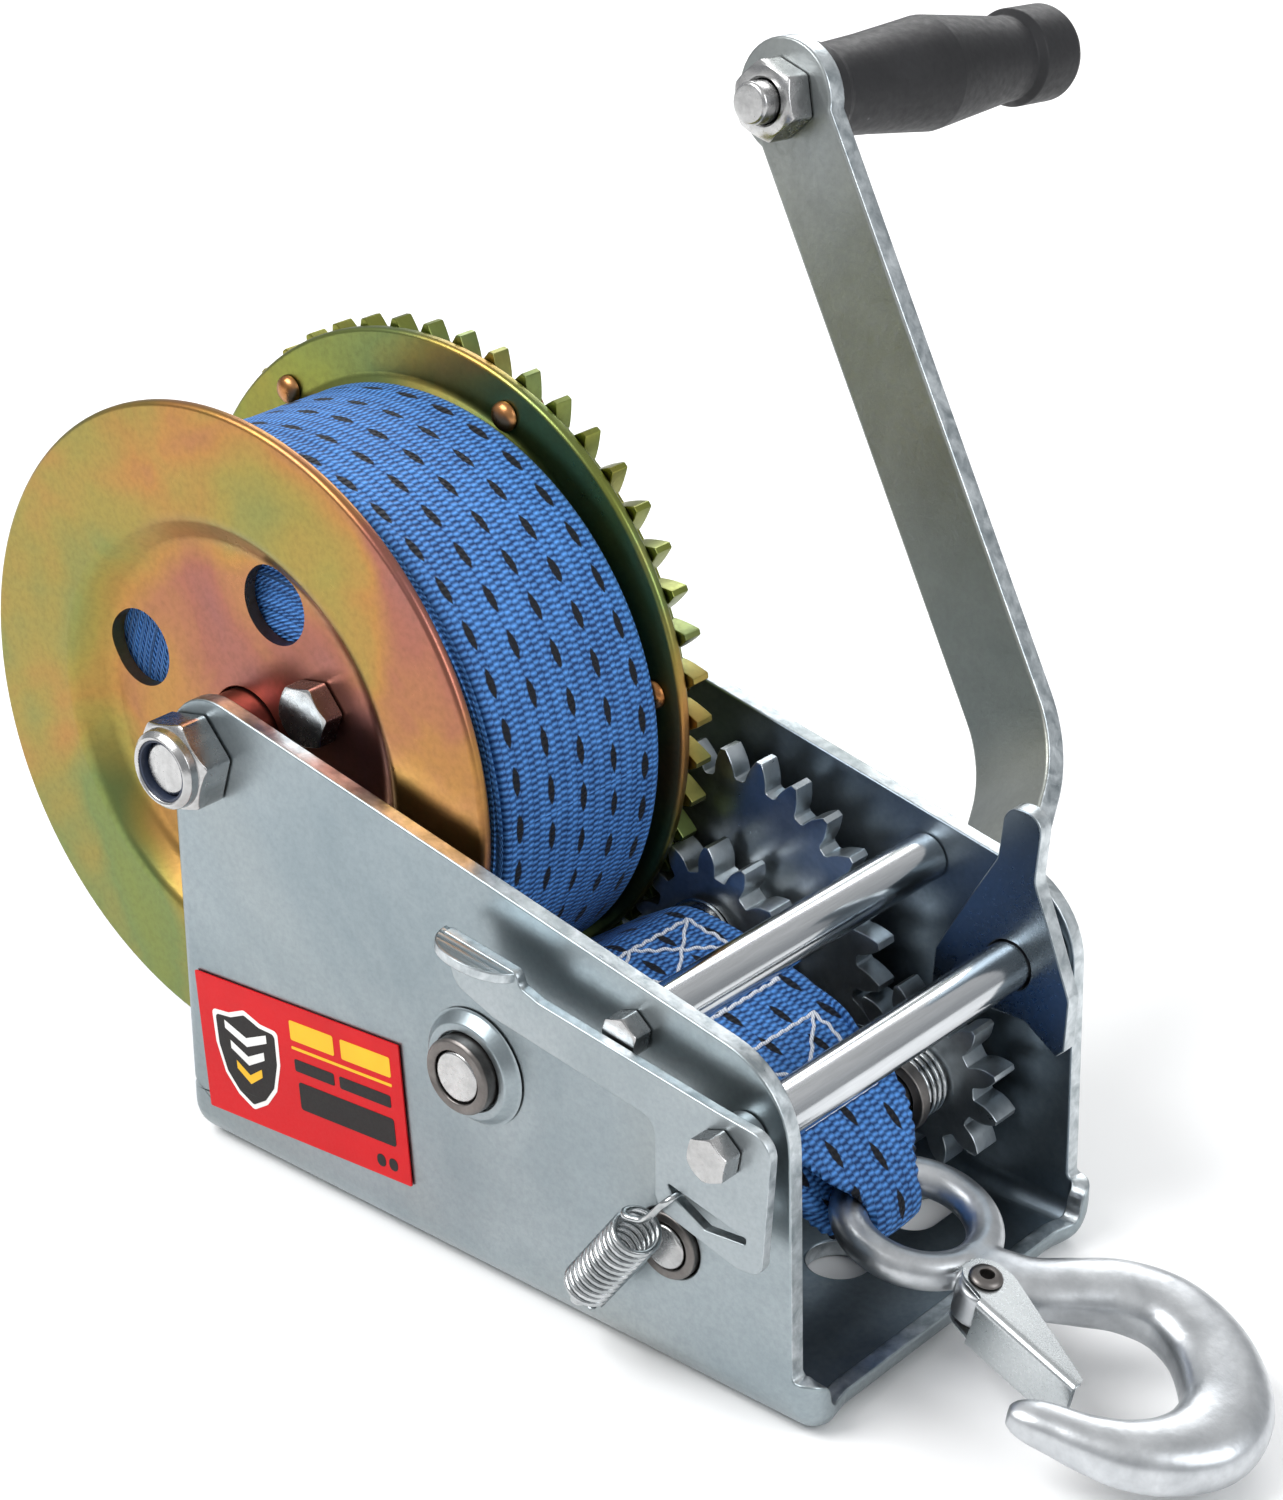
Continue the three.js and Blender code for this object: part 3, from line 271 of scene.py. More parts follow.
M = {
    "plate": metal("zinc_plate_outer", (0.235, 0.285, 0.310), (0.36, 0.405, 0.425), (0.30, 0.42),
                   900, 0.10, 14, (0.40, 0.395, 0.36)),
    # inner faces: a darker, bluer copy of the same plating, painted shade for the inside of the channel
    "inner": metal("zinc_plate_inner_painted_shade", (0.13, 0.165, 0.195), (0.30, 0.355, 0.40), (0.34, 0.46),
                   700, 0.10, 22),
    "sheared": metal("zinc_sheared_edge", (0.30, 0.34, 0.36), (0.66, 0.70, 0.72), (0.26, 0.46),
                     420, 0.5, 240),
    "lever": metal("zinc_lever", (0.28, 0.325, 0.345), (0.40, 0.44, 0.46), (0.30, 0.40), 800, 0.10, 20),
    # pawl: a darker copy of the lever's zinc, painted shade for its place between the plates
    "pawl": metal("zinc_pawl_painted_shade", (0.15, 0.185, 0.215), (0.25, 0.295, 0.33), (0.24, 0.36), 900, 0.06, 18),
    "arm": metal("zinc_crank_arm", (0.25, 0.27, 0.275), (0.40, 0.43, 0.43), (0.36, 0.52), 620, 0.38,
                 18, (0.33, 0.33, 0.27)),
    "gear": metal("zinc_gear", (0.36, 0.40, 0.43), (0.62, 0.66, 0.68), (0.26, 0.42), 700, 0.16, 60),
    "tube": metal("polished_tube", (0.50, 0.52, 0.54), (0.66, 0.68, 0.70), (0.10, 0.20), 300, 0.04,
                  30, stretch=(6, 0.4, 6)),
    "bolt": metal("zinc_bolt", (0.36, 0.36, 0.36), (0.60, 0.60, 0.60), (0.18, 0.32), 800, 0.12, 120),
    "spring": metal("spring_wire", (0.32, 0.34, 0.35), (0.60, 0.62, 0.63), (0.14, 0.26), 900, 0.06, 200),
    "bush": metal("bush_steel", (0.11, 0.10, 0.095), (0.23, 0.215, 0.205), (0.30, 0.44), 900, 0.14, 90),
    "hook": metal("hook_plating", (0.44, 0.46, 0.48), (0.62, 0.64, 0.66), (0.30, 0.44), 420, 0.34, 90),
    "latch": metal("latch_plating", (0.48, 0.51, 0.525), (0.58, 0.61, 0.62), (0.25, 0.30), 1400, 0.02, 30),
    "copper": metal("copper_rivet", (0.36, 0.15, 0.05), (0.56, 0.28, 0.12), (0.24, 0.38), 700, 0.12, 160),
    "gold": yellow_zinc("yellow_zinc_flange", DRUM),
    "goldgear": yellow_zinc("yellow_zinc_gear", DRUM, 0.36),
    "goldfar": yellow_zinc("yellow_zinc_far_flange", DRUM, 0.26),
    "strap": webbing("blue_webbing"),
    "rubber": moulded("grip_plastic", (0.007, 0.007, 0.008), (0.016, 0.016, 0.018), (0.46, 0.62), 500, 0.3,
                      (0.16, 0.16, 0.17)),
    "nylon": moulded("nylon_insert", (0.015, 0.02, 0.04), (0.03, 0.04, 0.07), (0.3, 0.45), 900, 0.1),
    "red": printed("label_red", (0.56, 0.002, 0.006)),
    "black": printed("label_black", (0.012, 0.010, 0.010)),
    "white": printed("label_white", (0.80, 0.80, 0.78)),
    "amber": printed("label_amber", (0.80, 0.46, 0.02)),
}


def thread_paint():
    p = Paint("white_thread", 0.0, 0.6)
    ply = p.add("TexWave", props={"bands_direction": "DIAGONAL"}, Vector=p.obj, Scale=900.0, Distortion=2.0)
    p.color(p.mix(ply, (0.42, 0.47, 0.56), (0.86, 0.88, 0.92)))
    p.bump(ply, 0.5, 0.0001)
    return p.m


M["thread"] = thread_paint()

# ---- mesh helpers ---------------------------------------------------------------------------
def finish(bm, name, mats, body, nodes=(), angle=35, weighted=True):
    """A finished piece from a bmesh in millimetres, attached to its body; the nodes it stands for, if any,
    are hidden.
    """
    bmesh.ops.recalc_face_normals(bm, faces=bm.faces)
    me = bpy.data.meshes.new(name)
    bm.to_mesh(me)
    bm.free()
    me.transform(Matrix.Scale(K, 4))
    o = bpy.data.objects.new(name, me)
    bpy.context.scene.collection.objects.link(o)
    for m in mats if isinstance(mats, (list, tuple)) else [mats]:
        me.materials.append(m)
    me.shade_smooth()
    me.set_sharp_from_angle(angle=rad(angle))
    if weighted:
        w = o.modifiers.new("normals", "WEIGHTED_NORMAL")
        w.keep_sharp = True
        w.weight = 80
    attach(o, body)
    if nodes:
        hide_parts(*nodes)
    return o


def rounded(points, steps=6):
    """An outline whose points [x, z] or [x, z, radius] get round corners."""
    out = []
    n = len(points)
    for i, p in enumerate(points):
        if len(p) < 3 or not p[2]:
            out.append((p[0], p[1]))
            continue
        c = Vector((p[0], p[1]))
        u = (Vector(points[i - 1][:2]) - c).normalized()
        v = (Vector(points[(i + 1) % n][:2]) - c).normalized()
        half = math.acos(max(-1, min(1, u.dot(v)))) / 2
        if half > PI / 2 - 0.01:
            out.append((p[0], p[1]))
            continue
        d = p[2] / math.tan(half)
        s, e = c + u * d, c + v * d
        m = c + (u + v).normalized() * (p[2] / math.sin(half))
        a0 = math.atan2(s.y - m.y, s.x - m.x)
        da = math.atan2(e.y - m.y, e.x - m.x) - a0
        da = (da + PI) % (2 * PI) - PI
        out += [(m.x + p[2] * math.cos(a0 + da * k / steps), m.y + p[2] * math.sin(a0 + da * k / steps))
                for k in range(steps + 1)]
    return out


def circle(x, z, r, n=48):
    return [(x + r * math.cos(2 * PI * i / n), z + r * math.sin(2 * PI * i / n)) for i in range(n)]


def flat(outline, holes=(), thick=4.0, edge=0.4, steps=2):
    """A flat plate in the a-b plane, c from -thick/2 to thick/2, with softly broken edges."""
    cu = bpy.data.curves.new("outline", "CURVE")
    cu.dimensions = "2D"
    cu.fill_mode = "BOTH"
    cu.extrude = thick / 2 - edge
    cu.bevel_depth = edge
    cu.bevel_resolution = steps
    cu.offset = -edge
    for pts in (outline, *holes):
        sp = cu.splines.new("POLY")
        sp.points.add(len(pts) - 1)
        for q, (x, y) in zip(sp.points, pts):
            q.co = (x, y, 0, 1)
        sp.use_cyclic_u = True
    o = bpy.data.objects.new("outline", cu)
    bpy.context.scene.collection.objects.link(o)
    dg = bpy.context.evaluated_depsgraph_get()
    me = bpy.data.meshes.new_from_object(o.evaluated_get(dg))
    bm = bmesh.new()
    bm.from_mesh(me)
    bpy.data.objects.remove(o)
    bpy.data.curves.remove(cu)
    bpy.data.meshes.remove(me)
    bmesh.ops.remove_doubles(bm, verts=bm.verts, dist=0.002)
    for f in bm.faces:
        f.material_index = 0
    return bm


def cut(bm, axis, places):
    for at in places:
        co = [0, 0, 0]
        no = [0, 0, 0]
        co[axis], no[axis] = at, 1
        bmesh.ops.bisect_plane(bm, geom=bm.verts[:] + bm.edges[:] + bm.faces[:], dist=1e-4,
                               plane_co=co, plane_no=no)


def remap(bm, way):
    for v in bm.verts:
        v.co = way(*v.co)


def upright(y_mid):
    """From a plate in a-b to one that stands across the winch at y_mid."""
    return lambda a, b, c: (a, y_mid - c, b)


def mark_sides(bm, edge_index=1, limit=0.6):
    """Gives the narrow sides of a flat plate their own finish."""
    for f in bm.faces:
        if abs(f.normal.z) < limit:
            f.material_index = edge_index


def skin(bm, rows, around=False, caps=False):
    """Faces between neighbouring rings of one size; around also joins the last ring to the first."""
    for a, b in zip(rows, rows[1:] + ([rows[0]] if around else [])):
        for k in range(len(a)):
            n = (k + 1) % len(a)
            bm.faces.new((a[k], a[n], b[n], b[k]))
    if caps:
        bm.faces.new(rows[0])
        bm.faces.new(rows[-1])


def lathe(at, profile, seg=96, close=True):
    """A turned body round a line along y; the profile is a closed list of (radius, y)."""
    bm = bmesh.new()
    rings = []
    for r, y in profile:
        if r < 1e-6:
            rings.append([bm.verts.new((at[0], y, at[1]))])
        else:
            rings.append([bm.verts.new((at[0] + r * math.cos(2 * PI * k / seg), y,
                                        at[1] + r * math.sin(2 * PI * k / seg))) for k in range(seg)])
    pairs = list(zip(rings, rings[1:] + ([rings[0]] if close else [])))
    for a, b in pairs:
        for k in range(seg):
            n = (k + 1) % seg
            q = [a[k % len(a)], a[n % len(a)], b[n % len(b)], b[k % len(b)]]
            q = [v for i, v in enumerate(q) if v not in q[:i]]
            if len(q) > 2:
                bm.faces.new(q)
    return bm


def soft(profile, r=0.4):
    """Breaks every corner of a turned profile, but not where it meets the axis."""
    return rounded([(a, y, 0 if a < 1e-6 else (rest[0] if rest else r)) for a, y, *rest in profile], 3)


def hexes(at, flats, y0, y1, turn=0, face=1, bore=0.0):
    """A hexagon head or nut along y with a turned chamfer on its outer face."""
    bm = bmesh.new()
    seg, edge = 96, 0.25
    rc = flats / 2 * 0.95
    h = y1 - y0

    def radius(w):
        k = (w - rad(turn)) % (PI / 3) - PI / 6
        return min(flats / 2 / math.cos(k), flats / 2 * 1.13)

    def ring(fr, fy):
        out = []
        for k in range(seg):
            w = 2 * PI * (k + 0.5) / seg
            r = fr(w)
            y = fy(r)
            y = y1 - y if face > 0 else y0 + y
            out.append(bm.verts.new((at[0] + r * math.cos(w), y, at[1] + r * math.sin(w))))
        return out

    drop = lambda r: max(0.0, (r - rc)) * math.tan(rad(32))
    rows = []
    if bore:
        rows.append(ring(lambda w: bore, lambda r: 0.5))
        rows.append(ring(lambda w: bore + 0.5, lambda r: 0.0))
    rows.append(ring(lambda w: rc, lambda r: 0.0))
    rows.append(ring(lambda w: radius(w) * 0.985, drop))
    rows.append(ring(radius, lambda r: drop(r) + edge))
    rows.append(ring(radius, lambda r: h - 0.1))
    rows.append(ring(lambda w: radius(w) - 0.1, lambda r: h))
    if bore:
        rows.append(ring(lambda w: bore, lambda r: h))
    skin(bm, rows, around=bool(bore), caps=not bore)
    return bm


def join(*parts):
    """Several shells in one bmesh."""
    out = parts[0]
    for p in parts[1:]:
        me = bpy.data.meshes.new("tmp")
        p.to_mesh(me)
        p.free()
        out.from_mesh(me)
        bpy.data.meshes.remove(me)
    return out


def spread(points, n, fields=None):
    """A smooth line through points, resampled at n + 1 even steps (any number of fields)."""
    P = [list(p) for p in points]
    fine = []
    for i in range(len(P) - 1):
        p0 = P[max(i - 1, 0)]
        p1, p2 = P[i], P[i + 1]
        p3 = P[min(i + 2, len(P) - 1)]
        for k in range(12):
            t = k / 12
            fine.append([0.5 * (2 * b + (c - a) * t + (2 * a - 5 * b + 4 * c - d) * t * t
                                + (3 * b - a - 3 * c + d) * t ** 3) for a, b, c, d in zip(p0, p1, p2, p3)])
    fine.append(P[-1])
    m = fields or len(P[0])
    run = [0.0]
    for a, b in zip(fine, fine[1:]):
        run.append(run[-1] + math.dist(a[:m], b[:m]))
    out = []
    j = 0
    for k in range(n + 1):
        s = run[-1] * k / n
        while j < len(run) - 2 and run[j + 1] < s:
            j += 1
        t = (s - run[j]) / max(1e-9, run[j + 1] - run[j])
        out.append([a + (b - a) * t for a, b in zip(fine[j], fine[j + 1])])
    return out, run[-1]


def rope(points, r, sides=10):
    """A round bar along a list of points."""
    bm = bmesh.new()
    P = [Vector(p) for p in points]
    normal = None
    rows = []
    for i, p in enumerate(P):
        t = (P[min(i + 1, len(P) - 1)] - P[max(i - 1, 0)]).normalized()
        if normal is None:
            normal = Vector((0, 0, 1)) if abs(t.z) < 0.9 else Vector((1, 0, 0))
        normal = (normal - t * normal.dot(t)).normalized()
        bi = t.cross(normal)
        rows.append([bm.verts.new(p + normal * r * math.cos(2 * PI * k / sides)
                                  + bi * r * math.sin(2 * PI * k / sides)) for k in range(sides)])
    skin(bm, rows, caps=True)
    return bm


def bored(o, *cutters):
    """Cuts bores out of a piece and keeps the result in its mesh."""
    for c in cutters:
        me = bpy.data.meshes.new("cutter")
        bmesh.ops.recalc_face_normals(c, faces=c.faces)
        c.to_mesh(me)
        c.free()
        me.transform(Matrix.Scale(K, 4))
        k = bpy.data.objects.new("cutter", me)
        bpy.context.scene.collection.objects.link(k)
        mod = o.modifiers.new("bore", "BOOLEAN")
        mod.operation = "DIFFERENCE"
        mod.solver = "EXACT"
        mod.object = k
        while o.modifiers.find("bore") > 0:
            i = o.modifiers.find("bore")
            o.modifiers.move(i, i - 1)
        dg = bpy.context.evaluated_depsgraph_get()
        for m in o.modifiers:
            m.show_viewport = m.name == "bore"
        dg.update()
        new = bpy.data.meshes.new_from_object(o.evaluated_get(dg))
        o.modifiers.remove(mod)
        for m in o.modifiers:
            m.show_viewport = True
        old = o.data
        o.data = new
        bpy.data.objects.remove(k)
        bpy.data.meshes.remove(old)
    o.data.set_sharp_from_angle(angle=rad(35))
    return o


# ---- frame -----------------------------------------------------------------------------------
HALF_W = span("frame_channel", 1)[1] - 3.0  # the pressed bosses stand 3 mm proud
SHEET, BEND = 4.0, 9.0
NEUTRAL = BEND - SHEET / 2
FLAT = HALF_W - BEND
ARC = NEUTRAL * PI / 2


def top_at(x):
    return 79.6 + 0.21 * (84 - x)


def up(z):
    """Distance across the unfolded sheet of height z on a side plate."""
    return FLAT + ARC + z - BEND


def wrap(a, b, c):
    """Unfolded sheet to bent channel: a along x, b across, c outwards."""
    s = abs(b)
    side = 1 if b >= 0 else -1
    if s <= FLAT:
        y, z = s, SHEET / 2 - c
    elif s <= FLAT + ARC:
        w = (s - FLAT) / NEUTRAL
        y, z = FLAT + (NEUTRAL + c) * math.sin(w), BEND - (NEUTRAL + c) * math.cos(w)
    else:
        y, z = HALF_W - SHEET / 2 + c, BEND + s - FLAT - ARC
    return a, side * y, z


LIP_BEND, LIP_UP = 3.0, 1.2
LIP_BASE, LIP_EAR = 82.7, 84.4  # where the margin starts to turn up, on the base and at a corner
LIP = LIP_BEND * PI / 2 + LIP_UP


def lip_from(b):
    """Where along x the base starts to turn up; the corners reach a little further out."""
    t = max(0.0, min(1.0, (abs(b) - 35) / 10))
    return LIP_BASE + 1.7 * t * t * (3 - 2 * t)


def curl(a, b, c):
    """Turns the sheet's front and rear margins up, then bends the sheet to a channel."""
    start = lip_from(b)
    run = abs(a) - start
    if run > 0:
        w = min(run / LIP_BEND, PI / 2)
        rest = max(0.0, run - LIP_BEND * PI / 2)
        a = math.copysign(start + (LIP_BEND + c) * math.sin(w), a)
        c = (LIP_BEND + c) * math.cos(w) - LIP_BEND - rest
    return wrap(a, b, c)


def frame_piece():
    base, ear = LIP_BASE + LIP, LIP_EAR + LIP
    half = [
        (base, 0), (base, 36, 8), (ear, 44, 8), (ear, up(13.6), 4.8), (84, up(13.6), 1.2),
        (82, up(top_at(82)), 20), (-87.1, up(top_at(-86.6)), 14), (-86.6, up(15), 1.2),
        (-84.2, up(13.6), 0.6), (-ear, up(13.6), 4.8), (-ear, 44, 8), (-base, 36, 8), (-base, 0),
    ]
    # the two corners of the far half are the same, mirrored
    other = [(a, -b, *r) for a, b, *r in reversed(half[1:-1])]
    pts = rounded([*half[:-1], half[-1], *other], 10)
    holes = []
    for x in (59, -62):
        for s in (29, -29):
            holes.append(rounded([(x - 5.5, s - 10, 5.5), (x + 5.5, s - 10, 5.5), (x + 5.5, s + 10, 5.5),
                                  (x - 5.5, s + 10, 5.5)], 10))
        holes.append(circle(x - 2, 1, 7, 48))
    for side in (1, -1):
        at = lambda p, r, n=56: circle(p[0], side * up(p[1]), r, n)
        holes += [at(SHAFT_A, 12.0), at(SHAFT_B, 7.8), at(DRUM, 6.3), at(REAR, 2.8, 32), at(FRONT, 2.8, 32)]
    holes.append(circle(31.2, -up(8.9), 2, 24))
    bm = flat(pts, holes, SHEET, 0.5, 2)
    # outer faces, inner faces (darker plating as painted shade) and sheared edges
    for f in bm.faces:
        n = f.normal
        f.material_index = 2 if abs(n.z) < 0.5 else (0 if n.z > 0 else 1)
    cuts = [FLAT + ARC * k / 8 for k in range(9)]
    cut(bm, 1, cuts + [-c for c in cuts])
    folds = [LIP_BASE + 0.65 * k for k in range(12)]
    cut(bm, 0, folds + [-c for c in folds])
    remap(bm, curl)
    parts = [bm]
    for side in (-1, 1):
        y = side * HALF_W
        prof = [(8.8, y - side * 3.6), (12.4, y - side * 3.6), (13.6, y - side * 0.5),
                (15.4, y + side * 0.02, 3), (12.7, y + side * 0.5, 1.2), (10.7, y + side * 2.9, 0.7),
                (8.8, y + side * 3.0, 0.5)]
        parts.append(lathe(SHAFT_A, rounded(prof, 4), 72))
    return finish(join(*parts), "frame_sheet", [M["plate"], M["inner"], M["sheared"]], "frame",
                  ["frame_channel"], 40)


frame_piece()

# ---- drum ------------------------------------------------------------------------------------
near = finish(lathe(DRUM, rounded([
    (10.5, -35.2, 0.3), (43, -35.2, 6), (50, -41.2, 5), (RIM, -41.2, 1.2), (RIM, -38.2, 1.2),
    (51, -38.2, 4), (44, -32.2, 4), (10.5, -32.2, 0.3)], 6), 160), "flange_near", M["gold"], "drum",
    ["near_flange"], 40)
holes = []
for i in range(4):
    w = rad(72 + 90 * i)
    c = (DRUM[0] + 34.5 * math.cos(w), DRUM[1] + 34.5 * math.sin(w))
    holes.append(lathe(c, [(0, -60), (9, -60), (9, 0), (0, 0)], 56, False))
holes.append(lathe(ANCHOR, [(0, -60), (4.3, -60), (4.3, 0), (0, 0)], 32, False))
bored(near, *holes)

finish(lathe(DRUM, rounded([
    (10.5, 18.5, 0.3), (60, 18.5, 4), (64.5, 21, 3), (RIM, 21, 1.1), (RIM, 24, 1.1),
    (63.5, 24, 3), (59, 21.5, 3), (10.5, 21.5, 0.3)], 6), 160), "flange_far", M["goldfar"], "drum",
    ["far_flange"], 40)

MODULE, PRESSURE, BACKLASH = 3.0, rad(25), 0.55


def tooth_outline(n, phase, addendum, at):
    """Involute gear outline with rounded tooth roots and broken tips."""
    rp = MODULE * n / 2
    rb, ra, rf = rp * math.cos(PRESSURE), rp + addendum * MODULE, rp - 1.25 * MODULE
    inv = math.tan(PRESSURE) - PRESSURE
    half = PI / (2 * n) - BACKLASH / 2 / rp

    def width(r):
        if r <= rb:
            return half + inv
        a = math.acos(rb / r)
        return half + inv - (math.tan(a) - a)

    tip = 0.25
    low = max(rb, rf + 0.5)
    radii = [low + (ra - tip - low) * k / 4 for k in range(5)]
    pts = []
    put = lambda r, w: pts.append((at[0] + r * math.cos(w), at[1] + r * math.sin(w)))
    foot = min(width(low) + 0.6 / rf, PI / n - 0.015)
    for i in range(n):
        c = rad(phase) + 2 * PI * i / n
        put(rf, c - foot)
        put(rf + 0.25, c - foot + 0.35 / rf)
        for r in radii:
            put(r, c - width(r))
        put(ra, c - width(ra - tip) + tip / ra)
        put(ra, c + width(ra - tip) - tip / ra)
        for r in reversed(radii):
            put(r, c + width(r))
        put(rf + 0.25, c + foot - 0.35 / rf)
        put(rf, c + foot)
    return pts


def mesh_phase(n1, phase1, n2, way):
    p1 = n1 * (way - phase1) / 360
    return way + 180 - (0.5 - p1) * 360 / n2


DRUM_PHASE, MIDDLE_PHASE, WAY_A, WAY_B = 32.2, 66.9, -29.9, -21.5


def rivet_places():
    return [(DRUM[0] + 67.4 * math.cos(rad(68 + 60 * i)), DRUM[1] + 67.4 * math.sin(rad(68 + 60 * i)))
            for i in range(6)]


def gear_piece(name, n, phase, add, at, y0, y1, bore, mat, body, nodes, extra=(), holes=()):
    bm = flat(tooth_outline(n, phase, add, at), [circle(*at, bore, 56), *holes], y1 - y0, 0.28, 1)
    remap(bm, upright((y0 + y1) / 2))
    return finish(join(bm, *extra), name, mat, body, nodes, 30)


gear_piece("gear_drum", 49, DRUM_PHASE, 0.95, DRUM, 24.4, 29.4, 10.5, M["goldgear"], "drum",
           ["drum_gear"],
           holes=[circle(*ANCHOR, 9, 40)] + [circle(*c, 2.6, 20) for c in rivet_places()])
for i, c in enumerate(rivet_places()):
    prof = [(0, 18.7), (1.4, 18.8), (2.5, 19.2), (3.2, 19.9), (3.4, 20.7), (2.2, 20.75), (2.2, 29.7),
            (2.9, 29.7), (2.7, 30.4), (1.9, 30.9), (0, 31.1)]
    finish(lathe(c, prof, 32, False), "rivet_head_%d" % (i + 1),
           M["copper"], "drum", ["gear_rivet_%d" % (i + 1)], 40)

finish(lathe(DRUM, soft([(16, -31.9), (16, 18.2), (10.5, 18.2), (10.5, -31.9)], 0.3), 64), "core_tube",
       M["gold"], "drum", ["drum_core"])
finish(lathe(DRUM, soft([(10, -45.2), (10, 45.2), (6.3, 45.2), (6.3, -45.2)], 0.5), 72), "sleeve_axle",
       M["gold"], "frame", ["axle_sleeve"])
finish(join(lathe(DRUM, soft([(0, -58.6), (6, -58.6, 0.9), (6, 50.2), (0, 50.2)]), 64, False),
            hexes(DRUM, 19, 50, 57.6, 12)), "bolt_axle", M["bolt"], "frame", ["axle_bolt"])
nut = hexes(DRUM, 19, -57.6, -49.9, 12, -1, 6.3)
collar = lathe(DRUM, soft([(6.9, -57.2), (6.9, -60.2, 0.3), (7.6, -60.6, 0.4), (8.8, -59.4, 0.8),
                           (9.1, -57, 0.3)]), 72)
ring = lathe(DRUM, soft([(6.3, -59.9), (7.1, -59.9), (7.1, -57), (6.3, -57)], 0.15), 64)
for f in ring.faces:
    f.material_index = 1
finish(join(nut, collar, ring), "nut_axle", [M["bolt"], M["nylon"]], "frame", ["axle_nut"])
finish(join(hexes(ANCHOR, 13, -40.9, -35.6, 10, -1),
            lathe(ANCHOR, soft([(0, -36), (4, -36, 0), (4, 29.2, 0.6), (0, 29.2)]), 40, False)),
       "bolt_anchor", M["bolt"], "drum", ["anchor_bolt"])
finish(hexes(ANCHOR, 13, 21.9, 28.2, 10, 1, 4.3), "nut_anchor", M["bolt"], "drum", ["anchor_nut"])


def roll_piece():
    """The wound strap: a ridged side for each layer and a smooth outer turn of tape."""
    c = (DRUM[0] + 4, DRUM[1] - 3)
    R = 67.5
    y0, y1 = span("strap_roll", 1)
    pitch = 1.86
    layers = int((R - 22) / pitch)
    prof = []
    for k in range(layers + 1):
        for r, dip in ((k * pitch + 0.15, 0.55), (k * pitch + 0.6, 0.08), (k * pitch + 1.3, 0.0),
                       (k * pitch + 1.75, 0.3)):
            prof.append((22 + r, dip))
    prof = [(r, d) for r, d in prof if r < R - 0.4]
    seg = 224
    bm = bmesh.new()
    uvl = bm.loops.layers.uv.new("UVMap")
    wander = [0.35 * math.sin(3 * a + 1) + 0.25 * math.sin(7 * a) for a in
              [2 * PI * k / seg for k in range(seg)]]

    def ring(r, y, shift):
        out = []
        for k in range(seg):
            a = 2 * PI * k / seg
            rr = r + (0.12 * math.sin(5 * a + y) if r > R - 3 else 0)
            out.append(bm.verts.new((c[0] + rr * math.cos(a), y + shift * wander[k],
                                     c[1] + rr * math.sin(a))))
        return out

    rows = []
    for r, d in prof:
        lay = (r - 22) / pitch
        rows.append((ring(r, y0 + 0.75 + d - 0.1, math.sin(lay * 2.3)), (r, 0)))
    # outer turn, with two older turns showing as steps at its near edge
    steps = [(R - 3.0, y0 + 0.05), (R - 2.2, y0 + 0.0), (R - 1.95, y0 + 1.1), (R - 1.7, y0 + 1.25),
             (R - 0.9, y0 + 1.3), (R - 0.45, y0 + 1.5), (R - 0.12, y0 + 2.0), (R, y0 + 2.8)]
    for r, y in steps:
        rows.append((ring(r, y, 0.2), (r, 1)))
    n = 18
    for k in range(1, n):
        y = y0 + 2.8 + (y1 - 1.6 - y0 - 2.8) * k / n
        rows.append((ring(R, y, 0.0), (R, 1)))
    for r, y in ((R - 0.05, y1 - 1.2), (R - 0.4, y1 - 0.6), (R - 1.0, y1 - 0.35), (R - 1.4, y1 - 0.5)):
        rows.append((ring(r, y, 0.2), (r, 1)))
    for r, d in reversed(prof[:-1]):
        rows.append((ring(r, y1 - 0.4 - d, 0.3), (r, 0)))
    mid_y = (y0 + y1) / 2
    total = 2 * PI * R
    for (a, (ra, ka)), (b, (rb, kb)) in zip(rows, rows[1:]):
        for k in range(seg):
            q = (k + 1) % seg
            f = bm.faces.new((a[k], a[q], b[q], b[k]))
            for lp, (row, kk, r, kind) in zip(f.loops, ((a, k, ra, ka), (a, k + 1, ra, ka),
                                                        (b, k + 1, rb, kb), (b, k, rb, kb))):
                v = kk / seg * round(total / 10.6) * 10.6
                y = lp.vert.co.y - mid_y
                if ka == 0 or kb == 0:
                    v *= r / R
                    y = 23 + (r % 40)
                lp[uvl].uv = (y / 10, v / 10)
    a, b = rows[-1][0], rows[0][0]
    for k in range(seg):
        q = (k + 1) % seg
        bm.faces.new((a[k], a[q], b[q], b[k]))
    return finish(bm, "webbing_roll", M["strap"], "drum", ["strap_roll"], 50, False)


roll_piece()

# ---- middle shaft ----------------------------------------------------------------------------
finish(lathe(SHAFT_A, soft([(0, -55.4), (5.7, -55.4, 0.8), (5.7, -42.6), (7, -42.6), (7, 21.5, 0.1),
                            (6.4, 21.5, 0.1), (6.4, 22.9, 0.1), (7, 22.9, 0.1), (7, 42.6), (5.7, 42.6),
                            (5.7, 55.4, 0.8), (0, 55.4)]), 64, False), "shaft_middle", M["bolt"],
       "middle_shaft_set", ["middle_shaft"])
for side, name in ((-1, "near"), (1, "far")):
    s = side
    prof = [(6, s * 55.6, 0.4), (7.9, s * 55.6, 0.6), (8.5, s * 55, 0.4), (8.5, s * 45.2, 0.1),
            (11, s * 45.2, 0.3), (11, s * 43, 0.4), (6, s * 43, 0.3)]
    finish(lathe(SHAFT_A, rounded(prof, 3), 72), "bush_middle_" + name,
           M["bush"], "frame", ["middle_bush_" + name])
gear_piece("gear_middle", 25, MIDDLE_PHASE, 0.85, SHAFT_A, 34, 39.6, 7.3, M["gear"], "middle_shaft_set",
           ["middle_gear"],
           [lathe(SHAFT_A, soft([(7.3, 31.9), (11.5, 31.9), (11.5, 42.4), (7.3, 42.4)], 0.5), 64)])
gear_piece("pinion_small", 12, mesh_phase(49, DRUM_PHASE, 12, WAY_A), 0.9, SHAFT_A, 24.4, 31.6, 7.3,
           M["gear"], "middle_shaft_set", ["small_pinion"])


